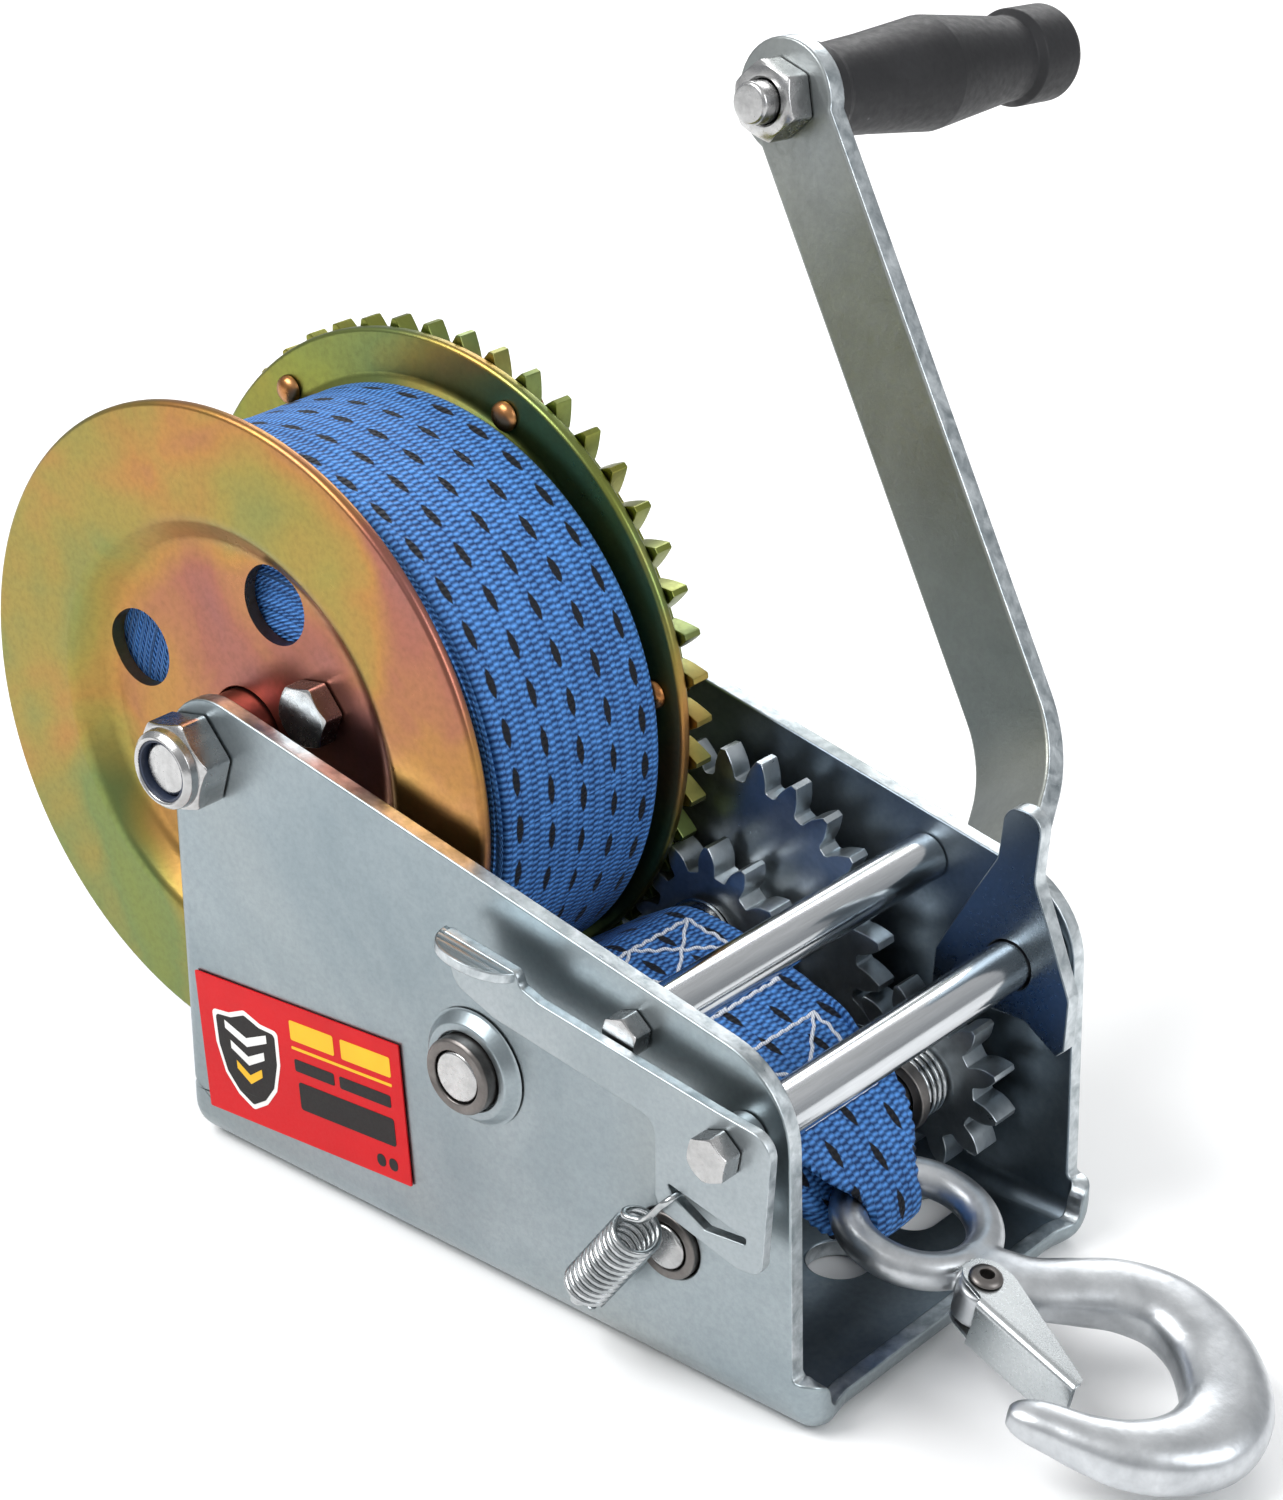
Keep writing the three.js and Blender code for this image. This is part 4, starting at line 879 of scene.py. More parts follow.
def ring_piece():
    pts = []
    for k in range(33):
        w = rad(-90 + 26 + (360 - 52) * k / 32)
        pts.append((SHAFT_A[0] + 8.9 * math.cos(w), SHAFT_A[1] + 8.9 * math.sin(w)))
    for k in range(32, -1, -1):
        w = rad(-90 + 26 + (360 - 52) * k / 32)
        pts.append((SHAFT_A[0] + 6.7 * math.cos(w), SHAFT_A[1] + 6.7 * math.sin(w)))
    bm = flat(pts, (), 0.8, 0.12, 1)
    remap(bm, upright(22.2))
    finish(bm, "ring_snap", M["spring"], "middle_shaft_set", ["middle_snap_ring"])


ring_piece()

# ---- crank shaft -----------------------------------------------------------------------------
finish(lathe(SHAFT_B, soft([(0, -51.5), (5, -51.5, 0.8), (5, -42.6), (8.2, -42.6), (8.2, -39.6), (6, -39.6),
                            (6, 53.3), (5, 53.3), (5, 70.5, 0.9), (0, 70.5)]), 64, False), "shaft_crank",
       M["bolt"], "crank", ["crank_shaft"])
finish(lathe(SHAFT_B, soft([(5.3, -50.9), (7.5, -50.9, 0.5), (7.5, -45.2, 0.1), (9.6, -45.2), (9.6, -43),
                            (5.3, -43)]), 64), "bush_crank_near", M["bush"], "frame", ["crank_bush_near"])
finish(lathe(SHAFT_B, soft([(6.3, 50.9), (7.5, 50.9), (7.5, 45.2, 0.1), (9.6, 45.2), (9.6, 43.2),
                            (6.3, 43.2)]), 64), "bush_crank_far", M["bush"], "frame", ["crank_bush_far"])
gear_piece("pinion_crank", 12, mesh_phase(25, MIDDLE_PHASE, 12, WAY_B), 0.9, SHAFT_B, 33.4, 40.6, 6.3,
           M["gear"], "crank", ["crank_pinion"],
           [lathe(SHAFT_B, soft([(6.3, 40.4), (10, 40.4), (10, 42.8), (6.3, 42.8)], 0.3), 56)])
coil = []
for i in range(120):
    w = 2 * PI * 3.2 * i / 119
    coil.append((SHAFT_B[0] + 7.7 * math.cos(w), 26.6 + 5.9 * i / 119, SHAFT_B[1] + 7.7 * math.sin(w)))
finish(rope(coil, 0.65, 10), "coil_thrust", M["spring"], "crank", ["thrust_spring"], 60)
finish(lathe(SHAFT_B, soft([(9, 22.6), (9, 25.6), (6.3, 25.6), (6.3, 22.6)], 0.4), 64), "collar_spring",
       M["bush"], "crank", ["spring_collar"])

# ---- cross tubes and their bolts -------------------------------------------------------------
for at, name in ((REAR, "rear"), (FRONT, "front")):
    finish(lathe(at, soft([(TUBE_R, -45.2), (TUBE_R, 45.2), (3.2, 45.2), (3.2, -45.2)], 0.25), 96),
           "tube_" + name, M["tube"], "frame", [name + "_tube"])
for at, name, head0, head1, flats in ((REAR, "rear", -54.6, -49.8, 8.2), (FRONT, "front", -62.6, -57.9, 9)):
    shank = lathe(at, soft([(0, head1 - 0.5), (2.5, head1 - 0.5, 0), (2.5, 58.4, 0.5), (0, 58.4)]), 48, False)
    finish(join(hexes(at, flats, head0, head1, 20, -1), shank), "bolt_" + name, M["bolt"], "frame",
           [name + "_tube_bolt"])
    finish(hexes(at, 8.4, 49.9, 55.4, 8, 1, 2.8), "nut_" + name, M["bolt"], "frame", [name + "_tube_nut"])
finish(lathe(FRONT, soft([(8.6, 39.9), (8.6, 45.2), (TUBE_R + 0.3, 45.2), (TUBE_R + 0.3, 39.9)]), 72),
       "collar_pawl", M["gear"], "frame", ["pawl_collar"])
finish(lathe(FRONT, soft([(5, -54.8), (5, -49.8), (2.8, -49.8), (2.8, -54.8)], 0.3), 56), "spacer_lever",
       M["gear"], "frame", ["lever_spacer"])

# ---- ratchet pawl and lock lever -------------------------------------------------------------
def pawl_piece():
    w0, w1 = rad(85 + 180 - 52), rad(85 + 180 + 47)
    lx, lz, rx, rz = [21.7 * f(w) for w in (w0, w1) for f in (math.cos, math.sin)]
    pts = rounded([
        (-2.6, 36.4, 4.2), (6.8, 36.4, 4.2), (5.6, 21, 6), (9.4, 12, 6), (15.4, -3, 3),
        (rx + 0.4, rz + 1), (rx - 1.6, rz - 1, 0.4), (4.6, -11.6, 3), (-4.4, -11.8, 3),
        (lx + 3.4, lz + 0.2, 0.4), (lx + 0.4, lz - 0.6, 0.3), (lx - 0.8, lz + 1, 0.3), (-18.4, -2.4, 3),
        (-10.6, 12, 6), (-3.8, 24, 6)], 7)
    bm = flat([(a + FRONT[0], b + FRONT[1]) for a, b in pts], [circle(*FRONT, TUBE_R + 0.35, 56)], 4, 0.4, 2)
    mark_sides(bm)
    remap(bm, upright(37.6))
    # the pawl's dark plating is painted shade
    finish(bm, "pawl_plate", [M["pawl"], M["sheared"]], "pawl", ["ratchet_pawl"], 35)


def lever_piece():
    y = (-57.6 - 55.1) / 2
    pts = rounded([(20.4, 84.6, 2), (21.2, 82, 2), (26, 80.3, 3), (71, 73.8), (84.4, 72.3, 5),
                   (82.4, 41.4, 3), (76.4, 40.9, 1), (56, 46.4, 4), (55.8, 65.7, 4), (14, 72.4, 3),
                   (3.6, 76.4, 5), (0.6, 87.6, 0.6), (19.2, 85, 0.6)], 8)
    window = rounded([(58.8, 53, 0.4), (78.6, 48.6, 0.4), (78.4, 47.2, 0.4), (68.4, 46.2, 1),
                      (60.4, 50.4, 0.6)], 4)
    bm = flat(pts, [window, circle(*FRONT, 2.9, 40)], 2.5, 0.35, 2)
    mark_sides(bm)
    remap(bm, upright(y))
    tab = [(9.4 + 10.6 * math.cos(rad(180 + 7.5 * k)), 9.2 * math.sin(rad(180 + 7.5 * k)))
           for k in range(25)]
    t = flat(rounded([(a, b, 0) for a, b in tab]), (), 2.4, 0.45, 2)
    mark_sides(t)
    cut(t, 1, [-1.5, -3, -5, -7])

    def lip(a, b, c):
        c += 1.2 + 0.012 * b * b - 0.004 * (a - 9.4) ** 2
        w = rad(7.5)
        return (0.3 + a * math.cos(w) + c * math.sin(w), -55.1 + b, 85.2 - a * math.sin(w) + c * math.cos(w))

    remap(t, lip)
    finish(join(bm, t), "lever_plate", [M["lever"], M["sheared"]], "lever", ["lock_lever"], 35)


def lever_spring_piece():
    a, b = Vector((60.2, -60, 50)), Vector((32.4, -56, 12.4))
    axis = (b - a).normalized()
    side = Vector((0, 1, 0)).cross(axis).normalized()
    top = axis.cross(side)
    at = lambda d, c, s: tuple(a + axis * d + side * c + top * s)
    c0, c1, turns, r = 12, 39, 12.5, 4.6
    first, _ = spread([(57, -53.6, 48.4), (59.4, -53.6, 50), (61.2, -54.2, 51.2), (61.5, -56.4, 51.3),
                       (61.3, -59, 51), at(1, 0, 0), at(8.4, 0.6, 0), at(c0 - 1, 3.4, -1.2),
                       at(c0, r, 0)], 40)
    n = round(turns * 24)
    wind = 2 * PI * turns / n
    coils = [at(c0 + (c1 - c0) * i / n, r * math.cos(wind * i), r * math.sin(wind * i)) for i in range(1, n)]
    last, _ = spread([at(c1, -r, 0), at(c1 + 1.4, -3, 1.2), at(c1 + 3.4, -0.6, 0), (33, -55.8, 13.4),
                      (32, -53, 10.6), (31.2, -49, 8.9), (31.2, -44.4, 8.9)], 36)
    finish(rope([*first, *coils, *last], 0.75, 10), "spring_lever",
           M["spring"], "frame", ["lever_spring"], 60)


pawl_piece()
lever_piece()
lever_spring_piece()

# ---- crank arm and grip ----------------------------------------------------------------------
LEAN = 31.15
ARM_T, ARM_W = 5.5, 23.0
BEND_AT, PIN_AT = (49.1, 103.5), (207.8, 117.5)
TILT = math.degrees(math.atan2(PIN_AT[1] - BEND_AT[1], PIN_AT[0] - BEND_AT[0]))
SWING = Matrix.Translation((SHAFT_B[0], 0, SHAFT_B[1])) @ Matrix.Rotation(rad(-LEAN), 4, "Y")
ON_PIN = SWING @ Matrix.Translation((0, PIN_AT[1], PIN_AT[0])) @ Matrix.Rotation(rad(-TILT), 4, "X")


def arm_piece():
    k = 17.5 / (PIN_AT[0] - BEND_AT[0])
    inner = rounded([(-14, 53.6), (11, 53.6, 9), (*BEND_AT, 26),
                     (PIN_AT[0] + 17.5, PIN_AT[1] + (PIN_AT[1] - BEND_AT[1]) * k)], 14)
    line = []
    for i, p in enumerate(inner):
        a, b = Vector(inner[max(i - 1, 0)]), Vector(inner[min(i + 1, len(inner) - 1)])
        t = (b - a).normalized()
        line.append(Vector((p[0] - t.y * ARM_T / 2, p[1] + t.x * ARM_T / 2)))
    run = [0.0]
    for a, b in zip(line, line[1:]):
        run.append(run[-1] + (b - a).length)

    def where(l):
        i = 0
        while i < len(run) - 2 and run[i + 1] < l:
            i += 1
        t = (l - run[i]) / (run[i + 1] - run[i])
        d = (line[i + 1] - line[i]).normalized()
        return line[i] + (line[i + 1] - line[i]) * t, Vector((-d.y, d.x))

    hub, pin = 14.0, 0.0
    while where(pin)[0].x < PIN_AT[0] - 2.75 * math.sin(rad(TILT)):
        pin += 0.05
    half = ARM_W / 2
    pts = []
    f0 = math.degrees(math.asin(half / 13.6))
    f1 = math.degrees(math.asin(half / 13.8))
    for i in range(29):
        w = rad(f0 + (360 - 2 * f0) * i / 28)
        pts.append((hub + 13.6 * math.cos(w), 13.6 * math.sin(w)))
    for i in range(29):
        w = rad(180 + f1 + (360 - 2 * f1) * i / 28)
        pts.append((pin + 13.8 * math.cos(w), 13.8 * math.sin(w)))
    bm = flat(pts, [circle(hub, 0, 5.4, 40), circle(pin, 0, 5.4, 40)], ARM_T, 0.7, 2)
    mark_sides(bm, 1, 0.5)
    cut(bm, 0, run[1:-1])

    def fold(l, w, c):
        p, n = where(l)
        return w, p.y + n.y * c, p.x + n.x * c

    remap(bm, fold)
    bm.transform(SWING)
    finish(bm, "arm_plate", [M["arm"], M["sheared"]], "crank", ["crank_arm"], 35)


arm_piece()
finish(hexes(SHAFT_B, 16, 59.5, 67.4, 18, 1, 5.3), "nut_crank", M["bolt"], "crank", ["crank_nut"])
t0, e0 = ARM_T + 0.4, ARM_T + 93.4
g = lathe((0, 0), rounded([
    (5.4, t0, 0.2), (11.8, t0, 0.5), (12, t0 + 1, 0.5), (12, t0 + 4, 1.5), (10.7, t0 + 6.5, 2),
    (11.7, t0 + 22, 30), (13.2, t0 + 38, 20), (13.8, t0 + 44, 3), (13.6, t0 + 46, 4), (10.5, t0 + 74, 6),
    (10.4, t0 + 76.5, 1.2), (12, t0 + 78.5, 1.2), (12, e0 - 2, 1.8), (11, e0, 1.2), (8.6, e0, 0.8),
    (8.6, e0 - 9, 0.4), (5.4, e0 - 9, 0.2)], 5), 96)
g.transform(ON_PIN)
finish(g, "grip_sleeve", M["rubber"], "handle_grip", ["grip"], 60, False)
b = join(lathe((0, 0), soft([(0, -12.2), (5, -12.2, 0.9), (5, e0 - 8, 0), (0, e0 - 8)]), 56, False),
         lathe((0, 0), soft([(2.8, e0 - 8.6), (8, e0 - 8.6), (8, e0 - 2.6, 1.0), (2.8, e0 - 2.6, 0.3)],
                            0.3), 56))
b.transform(ON_PIN)
finish(b, "bolt_grip", M["bolt"], "crank", ["grip_bolt"])
b = hexes((0, 0), 16.6, -7.6, -0.4, 12, -1, 5.3)
b.transform(ON_PIN)
finish(b, "nut_grip", M["bolt"], "crank", ["grip_nut"])

# ---- strap between the drum and the hook -----------------------------------------------------
ROUTE = [
    (-33.6, 38.8, 50, -6.85), (-18, 49.6, 50, -6.85), (-6.5, 57.4, 50, -6.85), (-2, 60.3, 50, -6.85),
    (2, 61.6, 50, -6.85), (8, 61.4, 50, -6.85), (20, 59.4, 49, -6.8), (34, 56.2, 47.5, -6.7),
    (48, 52.2, 42, -6.5), (57, 48.4, 38, -6.2), (64, 44.4, 35, -5.8), (69.4, 39.8, 28.6, -5.8),
    (73.8, 35.8, 19.6, -6), (76.2, 32, 15.4, -6), (77.2, 28.4, 14.6, -6), (76.6, 24.6, 15, -6),
    (73.6, 22.2, 16, -6), (69, 22.8, 20, -6), (64.4, 26.6, 26, -6), (62.4, 32, 31, -6.1),
    (60.8, 38, 35, -6.2), (57.6, 43, 37, -6.3), (52, 47.2, 40, -6.4), (45, 50.4, 43, -6.6),
    (34, 53.8, 46, -6.7), (20, 57, 48, -6.8), (13, 58.2, 48, -6.8),
]
TAPE, TAPE_W = 1.5, 50.0
STEPS = 260
stations, strap_len = spread(ROUTE, STEPS, 2)


def section(i, u):
    """Where the tape's middle layer is at station i and u mm from its centre line: (y, rise)."""
    x, z, w, y = stations[i]
    h = w / 2
    side = 1 if u >= 0 else -1
    m = abs(u) - h
    v = i / STEPS * strap_len
    wave = 0.18 * math.sin(v / 5.1 + u / 9) * min(1, abs(u) / 12)
    if m <= 0:
        return y + u, wave - 0.0016 * (50 - w) * (u / h) ** 2 * 10
    turn = PI * min(1.0, (50 - w) / 13)
    m = min(m, w - 2)
    drop = 1.7 * turn / PI
    soft_in = min(1, m / 1.6)
    return y + side * (h + m * math.cos(turn)), wave - m * math.sin(turn) - drop * soft_in - 0.016 * (50 - w)


def frame_at(i):
    a, b = stations[max(i - 1, 0)], stations[min(i + 1, len(stations) - 1)]
    t = Vector((b[0] - a[0], b[1] - a[1])).normalized()
    return Vector((stations[i][0], stations[i][1])), Vector((-t.y, t.x))


def on_tape(v, u, lift):
    """A point above the tape's upper face, v mm along it and u mm across."""
    f = max(0.0, min(STEPS - 0.001, v / strap_len * STEPS))
    i, t = int(f), f - int(f)
    out = []
    for k in (i, i + 1):
        p, n = frame_at(k)
        y, rise = section(k, u)
        q = p + n * (rise + lift)
        out.append(Vector((q.x, y, q.y)))
    return out[0].lerp(out[1], t)


def tape_piece():
    bm = bmesh.new()
    uvl = bm.loops.layers.uv.new("UVMap")
    n = 44
    us = [-TAPE_W / 2 + TAPE_W * k / n for k in range(n + 1)]
    rows = []
    for i in range(len(stations)):
        p, nrm = frame_at(i)
        flatline = [Vector(section(i, u)) for u in us]
        top, low = [], []
        for k, q in enumerate(flatline):
            a, b = flatline[max(k - 1, 0)], flatline[min(k + 1, n)]
            t = (b - a).normalized() if (b - a).length > 1e-6 else Vector((1, 0))
            nn = Vector((-t.y, t.x))
            thin = TAPE / 2 * (0.55 if k in (0, n) else 1.0)
            for row, s in ((top, 1), (low, -1)):
                e = q + nn * thin * s
                at = p + nrm * e.y
                row.append(bm.verts.new((at.x, e.x, at.y)))
        rows.append((top + low[::-1], us + us[::-1]))
    for i in range(len(rows) - 1):
        (a, ua), (b, ub) = rows[i], rows[i + 1]
        v0, v1 = i / STEPS * strap_len, (i + 1) / STEPS * strap_len
        m = len(a)
        for k in range(m):
            q = (k + 1) % m
            f = bm.faces.new((a[k], a[q], b[q], b[k]))
            for lp, (uu, vv) in zip(f.loops, ((ua[k], v0), (ua[q], v0), (ua[q], v1), (ua[k], v1))):
                lp[uvl].uv = (uu / 10, vv / 10)
    bm.faces.new(rows[0][0])
    bm.faces.new(rows[-1][0])
    return finish(bm, "webbing_tail", M["strap"], "frame", ["strap_tail"], 60, False)


tape = tape_piece()


def v_at(x):
    for i, s in enumerate(stations):
        if s[0] >= x:
            return i / STEPS * strap_len
    return strap_len


def seam(name, lines):
    """Sewn thread along straight runs on the tape; each run is ((v, u), (v, u))."""
    parts = []
    for (va, ua), (vb, ub) in lines:
        n = max(6, int(math.dist((va, ua), (vb, ub)) / 0.5))
        pts = []
        for k in range(n + 1):
            t = k / n
            s = t * n * 0.5
            lift = TAPE / 2 + 0.22 + 0.26 * math.sin(2 * PI * s / 3.4)
            off = 0.25 * math.sin(s * 0.9 + ua)
            pts.append(on_tape(va + (vb - va) * t, ua + (ub - ua) * t + off, lift))
        parts.append(rope(pts, 0.42, 7))
    return finish(join(*parts), name, M["thread"], "frame", (), 60, False)


va, vb = v_at(5), v_at(31)
vm = (va + vb) / 2
rear_seam = seam("thread_rear", [((va, -19), (va, 19)), ((vb, -18), (vb, 18)), ((va, -19), (vb, 18)),
                     ((va, 19), (vb, -18)), ((va, -19), (vb, -18)), ((va, 19), (vb, 18)),
                     ((va, 0), (vm, -18.5)), ((vm, -18.5), (vb, 0)), ((va, 0), (vm, 18.5)),
                     ((vm, 18.5), (vb, 0))])
vc, vd = v_at(42), v_at(61)
front_seam = seam("thread_front", [((vc, -16), (vd, 12)), ((vc, 16), (vd, -12)), ((vc, -16), (vc, 16)),
                      ((vd, -12), (vd, 12)), ((vc, -16), (vd, -12)), ((vc, 16), (vd, 12))])

# ---- hook --------------------------------------------------------------------------------------
EYE = (81.5, -6, 27.6)
LAY = Matrix.Translation(EYE) @ Matrix.Rotation(rad(13.2), 4, "Y")
LATCH_PIN = (22, -8.2)


def loft_shell(line, n, sides, power):
    pts, _ = spread(line, n, 2)
    bm = bmesh.new()
    bend = lambda v: math.copysign(abs(v) ** power, v)
    rows = []
    for i, (u, v, w, h) in enumerate(pts):
        a, b = pts[max(i - 1, 0)], pts[min(i + 1, n)]
        t = Vector((b[0] - a[0], b[1] - a[1])).normalized()
        rows.append([bm.verts.new((u - t.y * bend(math.cos(2 * PI * k / sides)) * w / 2,
                                   v + t.x * bend(math.cos(2 * PI * k / sides)) * w / 2,
                                   bend(math.sin(2 * PI * k / sides)) * h / 2)) for k in range(sides)])
    skin(bm, rows, caps=True)
    bmesh.ops.recalc_face_normals(bm, faces=bm.faces)
    return bm


def forged(bm, name):
    """Melts overlapping shells into one forging with blended joints."""
    me = bpy.data.meshes.new(name)
    bmesh.ops.recalc_face_normals(bm, faces=bm.faces)
    bm.to_mesh(me)
    bm.free()
    o = bpy.data.objects.new(name, me)
    bpy.context.scene.collection.objects.link(o)
    r = o.modifiers.new("melt", "REMESH")
    r.mode = "VOXEL"
    r.voxel_size = 0.55
    s = o.modifiers.new("relax", "SMOOTH")
    s.factor, s.iterations = 0.5, 8
    dg = bpy.context.evaluated_depsgraph_get()
    new = bpy.data.meshes.new_from_object(o.evaluated_get(dg))
    out = bmesh.new()
    out.from_mesh(new)
    bpy.data.objects.remove(o)
    bpy.data.meshes.remove(new)
    return out


def hook_piece():
    body = loft_shell([
        (12.6, -0.4, 10.5, 7.8), (20, 0.4, 13.5, 8.4), (27, 3.6, 14, 9.4), (33.4, 10, 14.5, 11.2),
        (40, 16.4, 15.5, 12.4), (49, 20, 16.6, 13), (58.6, 18.2, 17.6, 13), (66.4, 13, 18.4, 13),
        (72.4, 5.6, 18.6, 13), (74.2, -3.8, 18.2, 13), (71.2, -12.6, 15.8, 12.6), (65.6, -19, 13.4, 11.8),
        (58.8, -22.8, 10.8, 10.4), (53, -24.8, 9.4, 9.2), (48.4, -26.6, 8.4, 8), (45.4, -28, 6.4, 6),
        (44.0, -28.7, 3.6, 3.8)], 90, 28, 0.82)
    ring = bmesh.new()
    rows = []
    for i in range(72):
        a = 2 * PI * i / 72
        rows.append([ring.verts.new(((14.2 + 4.0 * math.cos(2 * PI * k / 20)) * math.cos(a),
                                     (14.2 + 4.0 * math.cos(2 * PI * k / 20)) * math.sin(a),
                                     4.0 * math.sin(2 * PI * k / 20))) for k in range(20)])
    skin(ring, rows, around=True)
    lug = flat(rounded([(26.6, -12.8, 4.5), (26.6, 3.6, 3), (15.4, 3.6, 4), (17.4, -12.8, 4.5)], 8), (),
               8.2, 1.0, 3)
    bm = forged(join(body, ring, lug), "hook_forging")
    bm.transform(LAY)
    return finish(bm, "hook_forged", M["hook"], "hook", ["hook_body"], 80, False)


hook_piece()


def latch_piece():
    """A folded sheet: a web with a cheek at each side, round about the pin and narrow at the tip."""
    start, end = Vector((23.4, -14.8)), Vector((51, -18.8))
    d = (end - start).normalized()
    n = Vector((-d.y, d.x))
    sheet, outer, half_w = 1.1, 1.6, 6.1
    neutral, web = outer - sheet / 2, half_w - outer
    fold = neutral * PI / 2
    rise = lambda h: web + fold + h - outer
    pin = Vector(LATCH_PIN) - start
    at = (pin.dot(d), pin.dot(n))
    half = [(2, 0), (1.6, rise(1.9), 1.5), (at[0] - 5.3, rise(at[1] - 2.8), 4.5),
            (at[0] - 5.3, rise(at[1] + 5.3), 5.2), (0.4, rise(at[1] + 5.3), 8), (27.4, rise(2.9), 0.8),
            (27.6, 0)]
    other = [(a, -b, *r) for a, b, *r in reversed(half[1:-1])]
    bm = flat(rounded([*half, *other], 8), [circle(at[0], side * rise(at[1]), 2.9, 40) for side in (1, -1)],
              sheet, 0.25, 2)
    mark_sides(bm)
    folds = [web + fold * k / 6 for k in range(7)]
    cut(bm, 1, folds + [-f for f in folds])

    def form(l, b, c):
        s = abs(b)
        if s <= web:
            w, h = s, sheet / 2 - c
        elif s <= web + fold:
            a = (s - web) / neutral
            w, h = web + (neutral + c) * math.sin(a), outer - (neutral + c) * math.cos(a)
        else:
            w, h = half_w - sheet / 2 + c, outer + s - web - fold
        q = start + d * l + n * h
        return q.x, q.y, math.copysign(w, b)

    remap(bm, form)
    bm.transform(LAY)
    finish(bm, "latch_plate", [M["latch"], M["sheared"]], "latch", ["hook_latch"], 35)


latch_piece()
r = lathe((0, 0), [(1.3, -7.0), (1.6, -7.4), (2.6, -7.3), (3.3, -6.9), (3.5, -6.45), (2.6, -6.4), (2.6, 6.4),
                   (3.5, 6.45), (3.3, 6.9), (2.6, 7.3), (1.6, 7.4), (1.3, 7.0)], 48)
r.transform(LAY @ Matrix.Translation((*LATCH_PIN, 0)) @ Matrix.Rotation(rad(90), 4, "X"))
finish(r, "rivet_latch", M["bush"], "hook", ["latch_rivet"], 50)


# ---- label with a plain shield and plain bars ------------------------------------------------
def label_pieces():
    cx, cz, turn = -50.6, 30.0, rad(4.4)

    def place(y):
        return lambda a, b, c: (cx + a * math.cos(turn) - b * math.sin(turn), y - c,
                                cz + a * math.sin(turn) + b * math.cos(turn))

    def bar(a0, a1, b0, b1, r=0.5):
        return rounded([(a0, b0, r), (a1, b0, r), (a1, b1, r), (a0, b1, r)], 4)

    def put(name, shapes, mat, y):
        parts = []
        for s in shapes:
            bm = flat(s, (), 0.08, 0.02, 1)
            remap(bm, place(y))
            parts.append(bm)
        finish(join(*parts), name, mat, "frame")

    bm = flat(bar(-31.4, 31.4, -16.9, 16.9, 0.4), (), 0.4, 0.06, 1)
    remap(bm, place(-50.0))
    finish(bm, "label_panel", M["red"], "frame", ["label_plate"], 35)

    def shield(k):
        pts = [(0, 11.6), (5, 9.6), (10.4, 9.2), (10.2, 1), (8.2, -6), (4.6, -10.4), (0, -13),
               (-4.6, -10.4), (-8.2, -6), (-10.2, 1), (-10.4, 9.2), (-5, 9.6)]
        return rounded([(-16.6 + a * k, b * k - 0.4 + (1 - k) * -0.6, 1.2 * k) for a, b in pts], 4)

    put("label_shield_rim", [shield(1.0)], M["white"], -50.24)
    put("label_shield_field", [shield(0.9)], M["black"], -50.28)
    chevrons = []
    for k in range(3):
        z = 4.4 - 4.6 * k
        w = 6.6 - 1.3 * k
        chevrons.append([(-16.6 - w, z + 2.6), (-16.6, z), (-16.6 + w, z + 2.6), (-16.6 + w, z + 0.6),
                         (-16.6, z - 2.2), (-16.6 - w, z + 0.6)])
    put("label_shield_bands", chevrons[:2], M["white"], -50.32)
    put("label_shield_band_low", chevrons[2:], M["amber"], -50.32)
    put("label_bars_top", [bar(-2, 11.4, 8.4, 13.2), bar(13.6, 28.4, 8.4, 13.2),
                           bar(-2, 28.4, 6.2, 6.9, 0.2)], M["amber"], -50.24)
    put("label_bars_low", [bar(-1.6, 10.6, 0.9, 3.9), bar(12.2, 27.6, 0.9, 3.9),
                           bar(-1.0, 28.0, -8.4, -1.6, 0.8), bar(21.6, 24.2, -14.6, -11.6, 1.2),
                           bar(25.2, 27.8, -14.6, -11.6, 1.2)], M["black"], -50.24)


label_pieces()

# ---- stage, light and camera -----------------------------------------------------------------
floor_mat = Paint("pale_floor", 0.0, 0.8, (0.94, 0.94, 0.94))
bm = bmesh.new()
bmesh.ops.create_grid(bm, x_segments=2, y_segments=2, size=20.0)
me = bpy.data.meshes.new("floor")
bm.to_mesh(me)
bm.free()
me.materials.append(floor_mat.m)
floor = bpy.data.objects.new("floor", me)
floor.location.z = -0.0002
bpy.context.scene.collection.objects.link(floor)


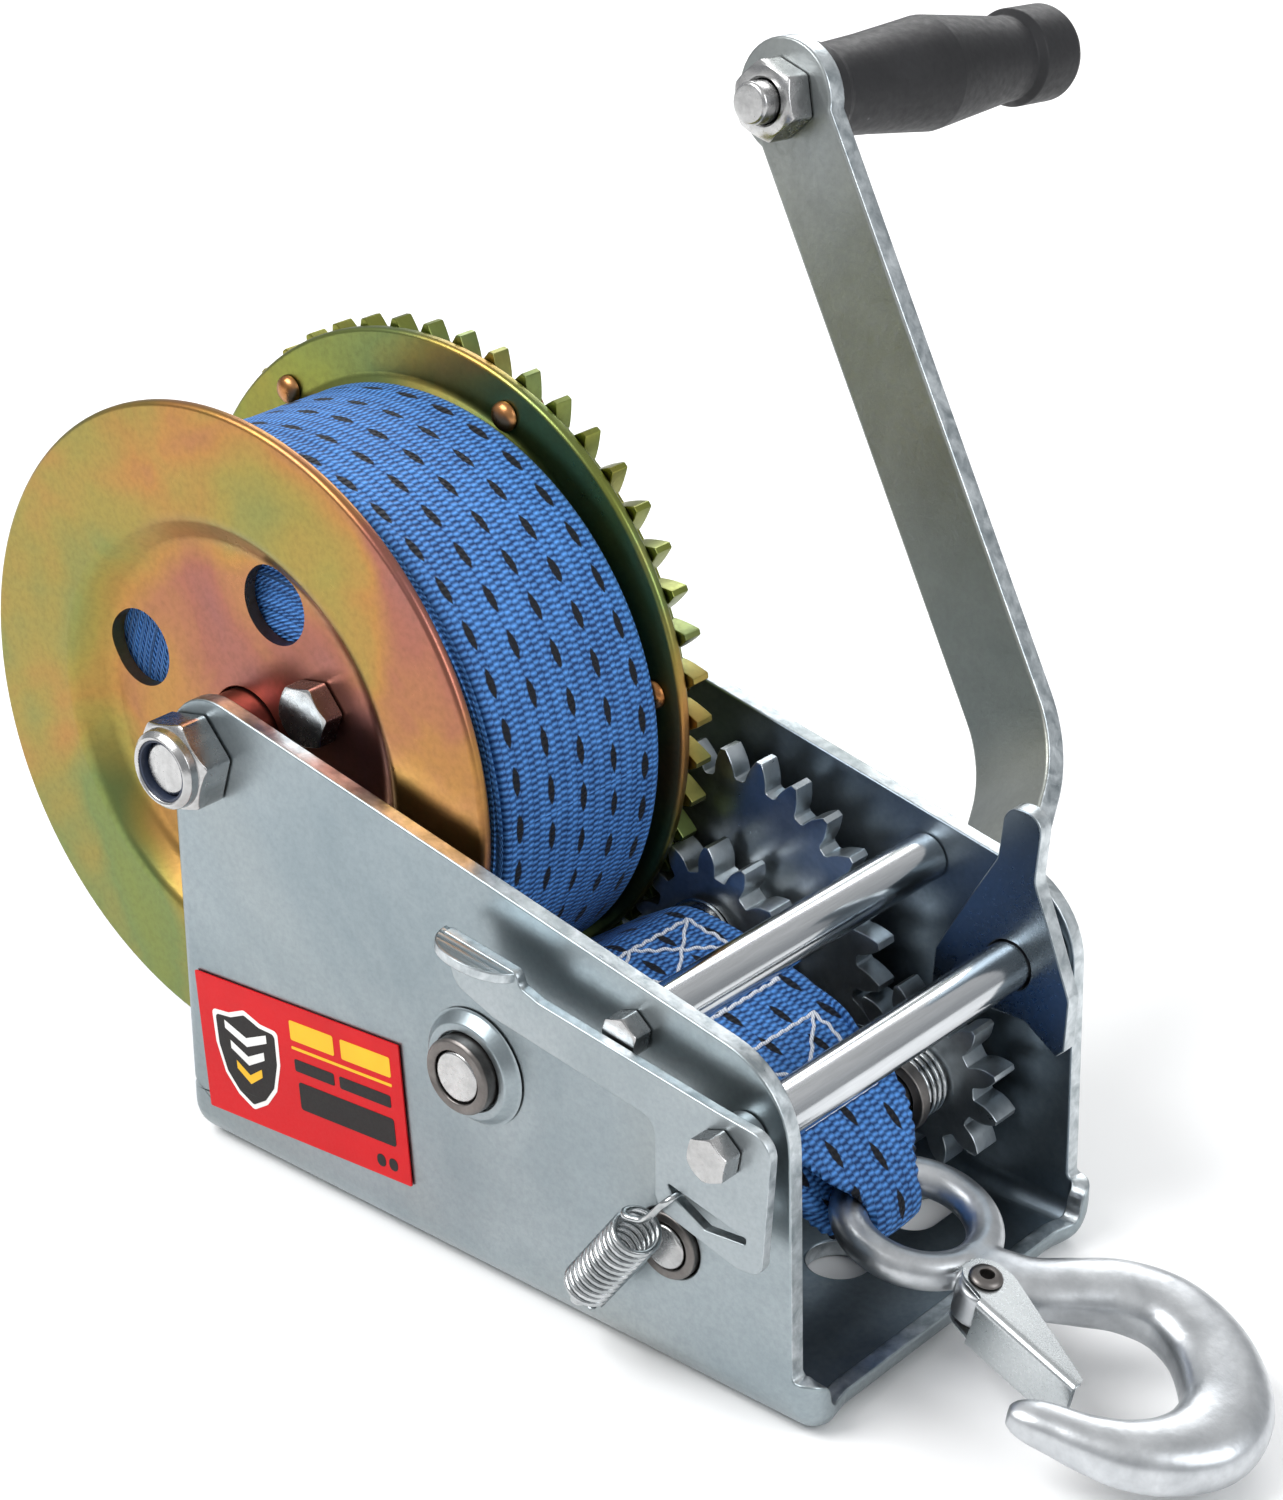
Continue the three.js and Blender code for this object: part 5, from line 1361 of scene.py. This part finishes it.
def area_light(name, at, target, size, power, color=(1, 1, 1)):
    li = bpy.data.lights.new(name, "AREA")
    li.shape = "RECTANGLE"
    li.size, li.size_y = size
    li.energy = power
    li.color = color
    o = bpy.data.objects.new(name, li)
    o.location = at
    o.rotation_euler = (Vector(target) - Vector(at)).to_track_quat("-Z", "Y").to_euler()
    bpy.context.scene.collection.objects.link(o)


area_light("key", (-0.5, -0.9, 1.3), (0, 0, 0.08), (1.0, 0.8), 24)
area_light("side", (1.3, 0.35, 0.8), (0.05, 0, 0.08), (0.8, 0.9), 9, (0.96, 0.98, 1.0))
area_light("back", (-0.6, 1.2, 0.9), (0, 0, 0.12), (0.9, 0.6), 8)

world = bpy.data.worlds.new("studio")
bpy.context.scene.world = world
world.use_nodes = True
nt = world.node_tree
tc = nt.nodes.new("ShaderNodeTexCoord")
sep = nt.nodes.new("ShaderNodeSeparateXYZ")
nt.links.new(tc.outputs["Generated"], sep.inputs[0])
cr = nt.nodes.new("ShaderNodeValToRGB")
cr.color_ramp.elements[0].position = 0.0
cr.color_ramp.elements[0].color = (0.62, 0.63, 0.65, 1)
cr.color_ramp.elements[1].position = 0.75
cr.color_ramp.elements[1].color = (1.0, 1.0, 1.0, 1)
e = cr.color_ramp.elements.new(0.25)
e.color = (0.62, 0.64, 0.66, 1)
nt.links.new(sep.outputs["Z"], cr.inputs[0])
nt.links.new(cr.outputs[0], nt.nodes["Background"].inputs["Color"])
nt.nodes["Background"].inputs["Strength"].default_value = 0.70

# the photograph's camera, from a fit to points of the flanges, plates and tubes
CAMERA_AT = (0.4092, -0.4718, 0.4076)
YAW, PITCH, ROLL = rad(130.761), rad(-25.644), rad(-0.137)
cam_data = bpy.data.cameras.new("photo_view")
cam = bpy.data.objects.new("photo_view", cam_data)
bpy.context.scene.collection.objects.link(cam)
view = Vector((math.cos(YAW) * math.cos(PITCH), math.sin(YAW) * math.cos(PITCH), math.sin(PITCH)))
quat = view.to_track_quat("-Z", "Y")
cam.matrix_world = (Matrix.Translation(CAMERA_AT) @ quat.to_matrix().to_4x4()
                    @ Matrix.Rotation(ROLL, 4, "Z"))
cam_data.lens = 80.28
cam_data.sensor_width = 36
cam_data.shift_x, cam_data.shift_y = 0.0019, -0.0062
cam_data.clip_start = 0.01
bpy.context.scene.camera = cam
bpy.context.scene.view_settings.view_transform = "Standard"
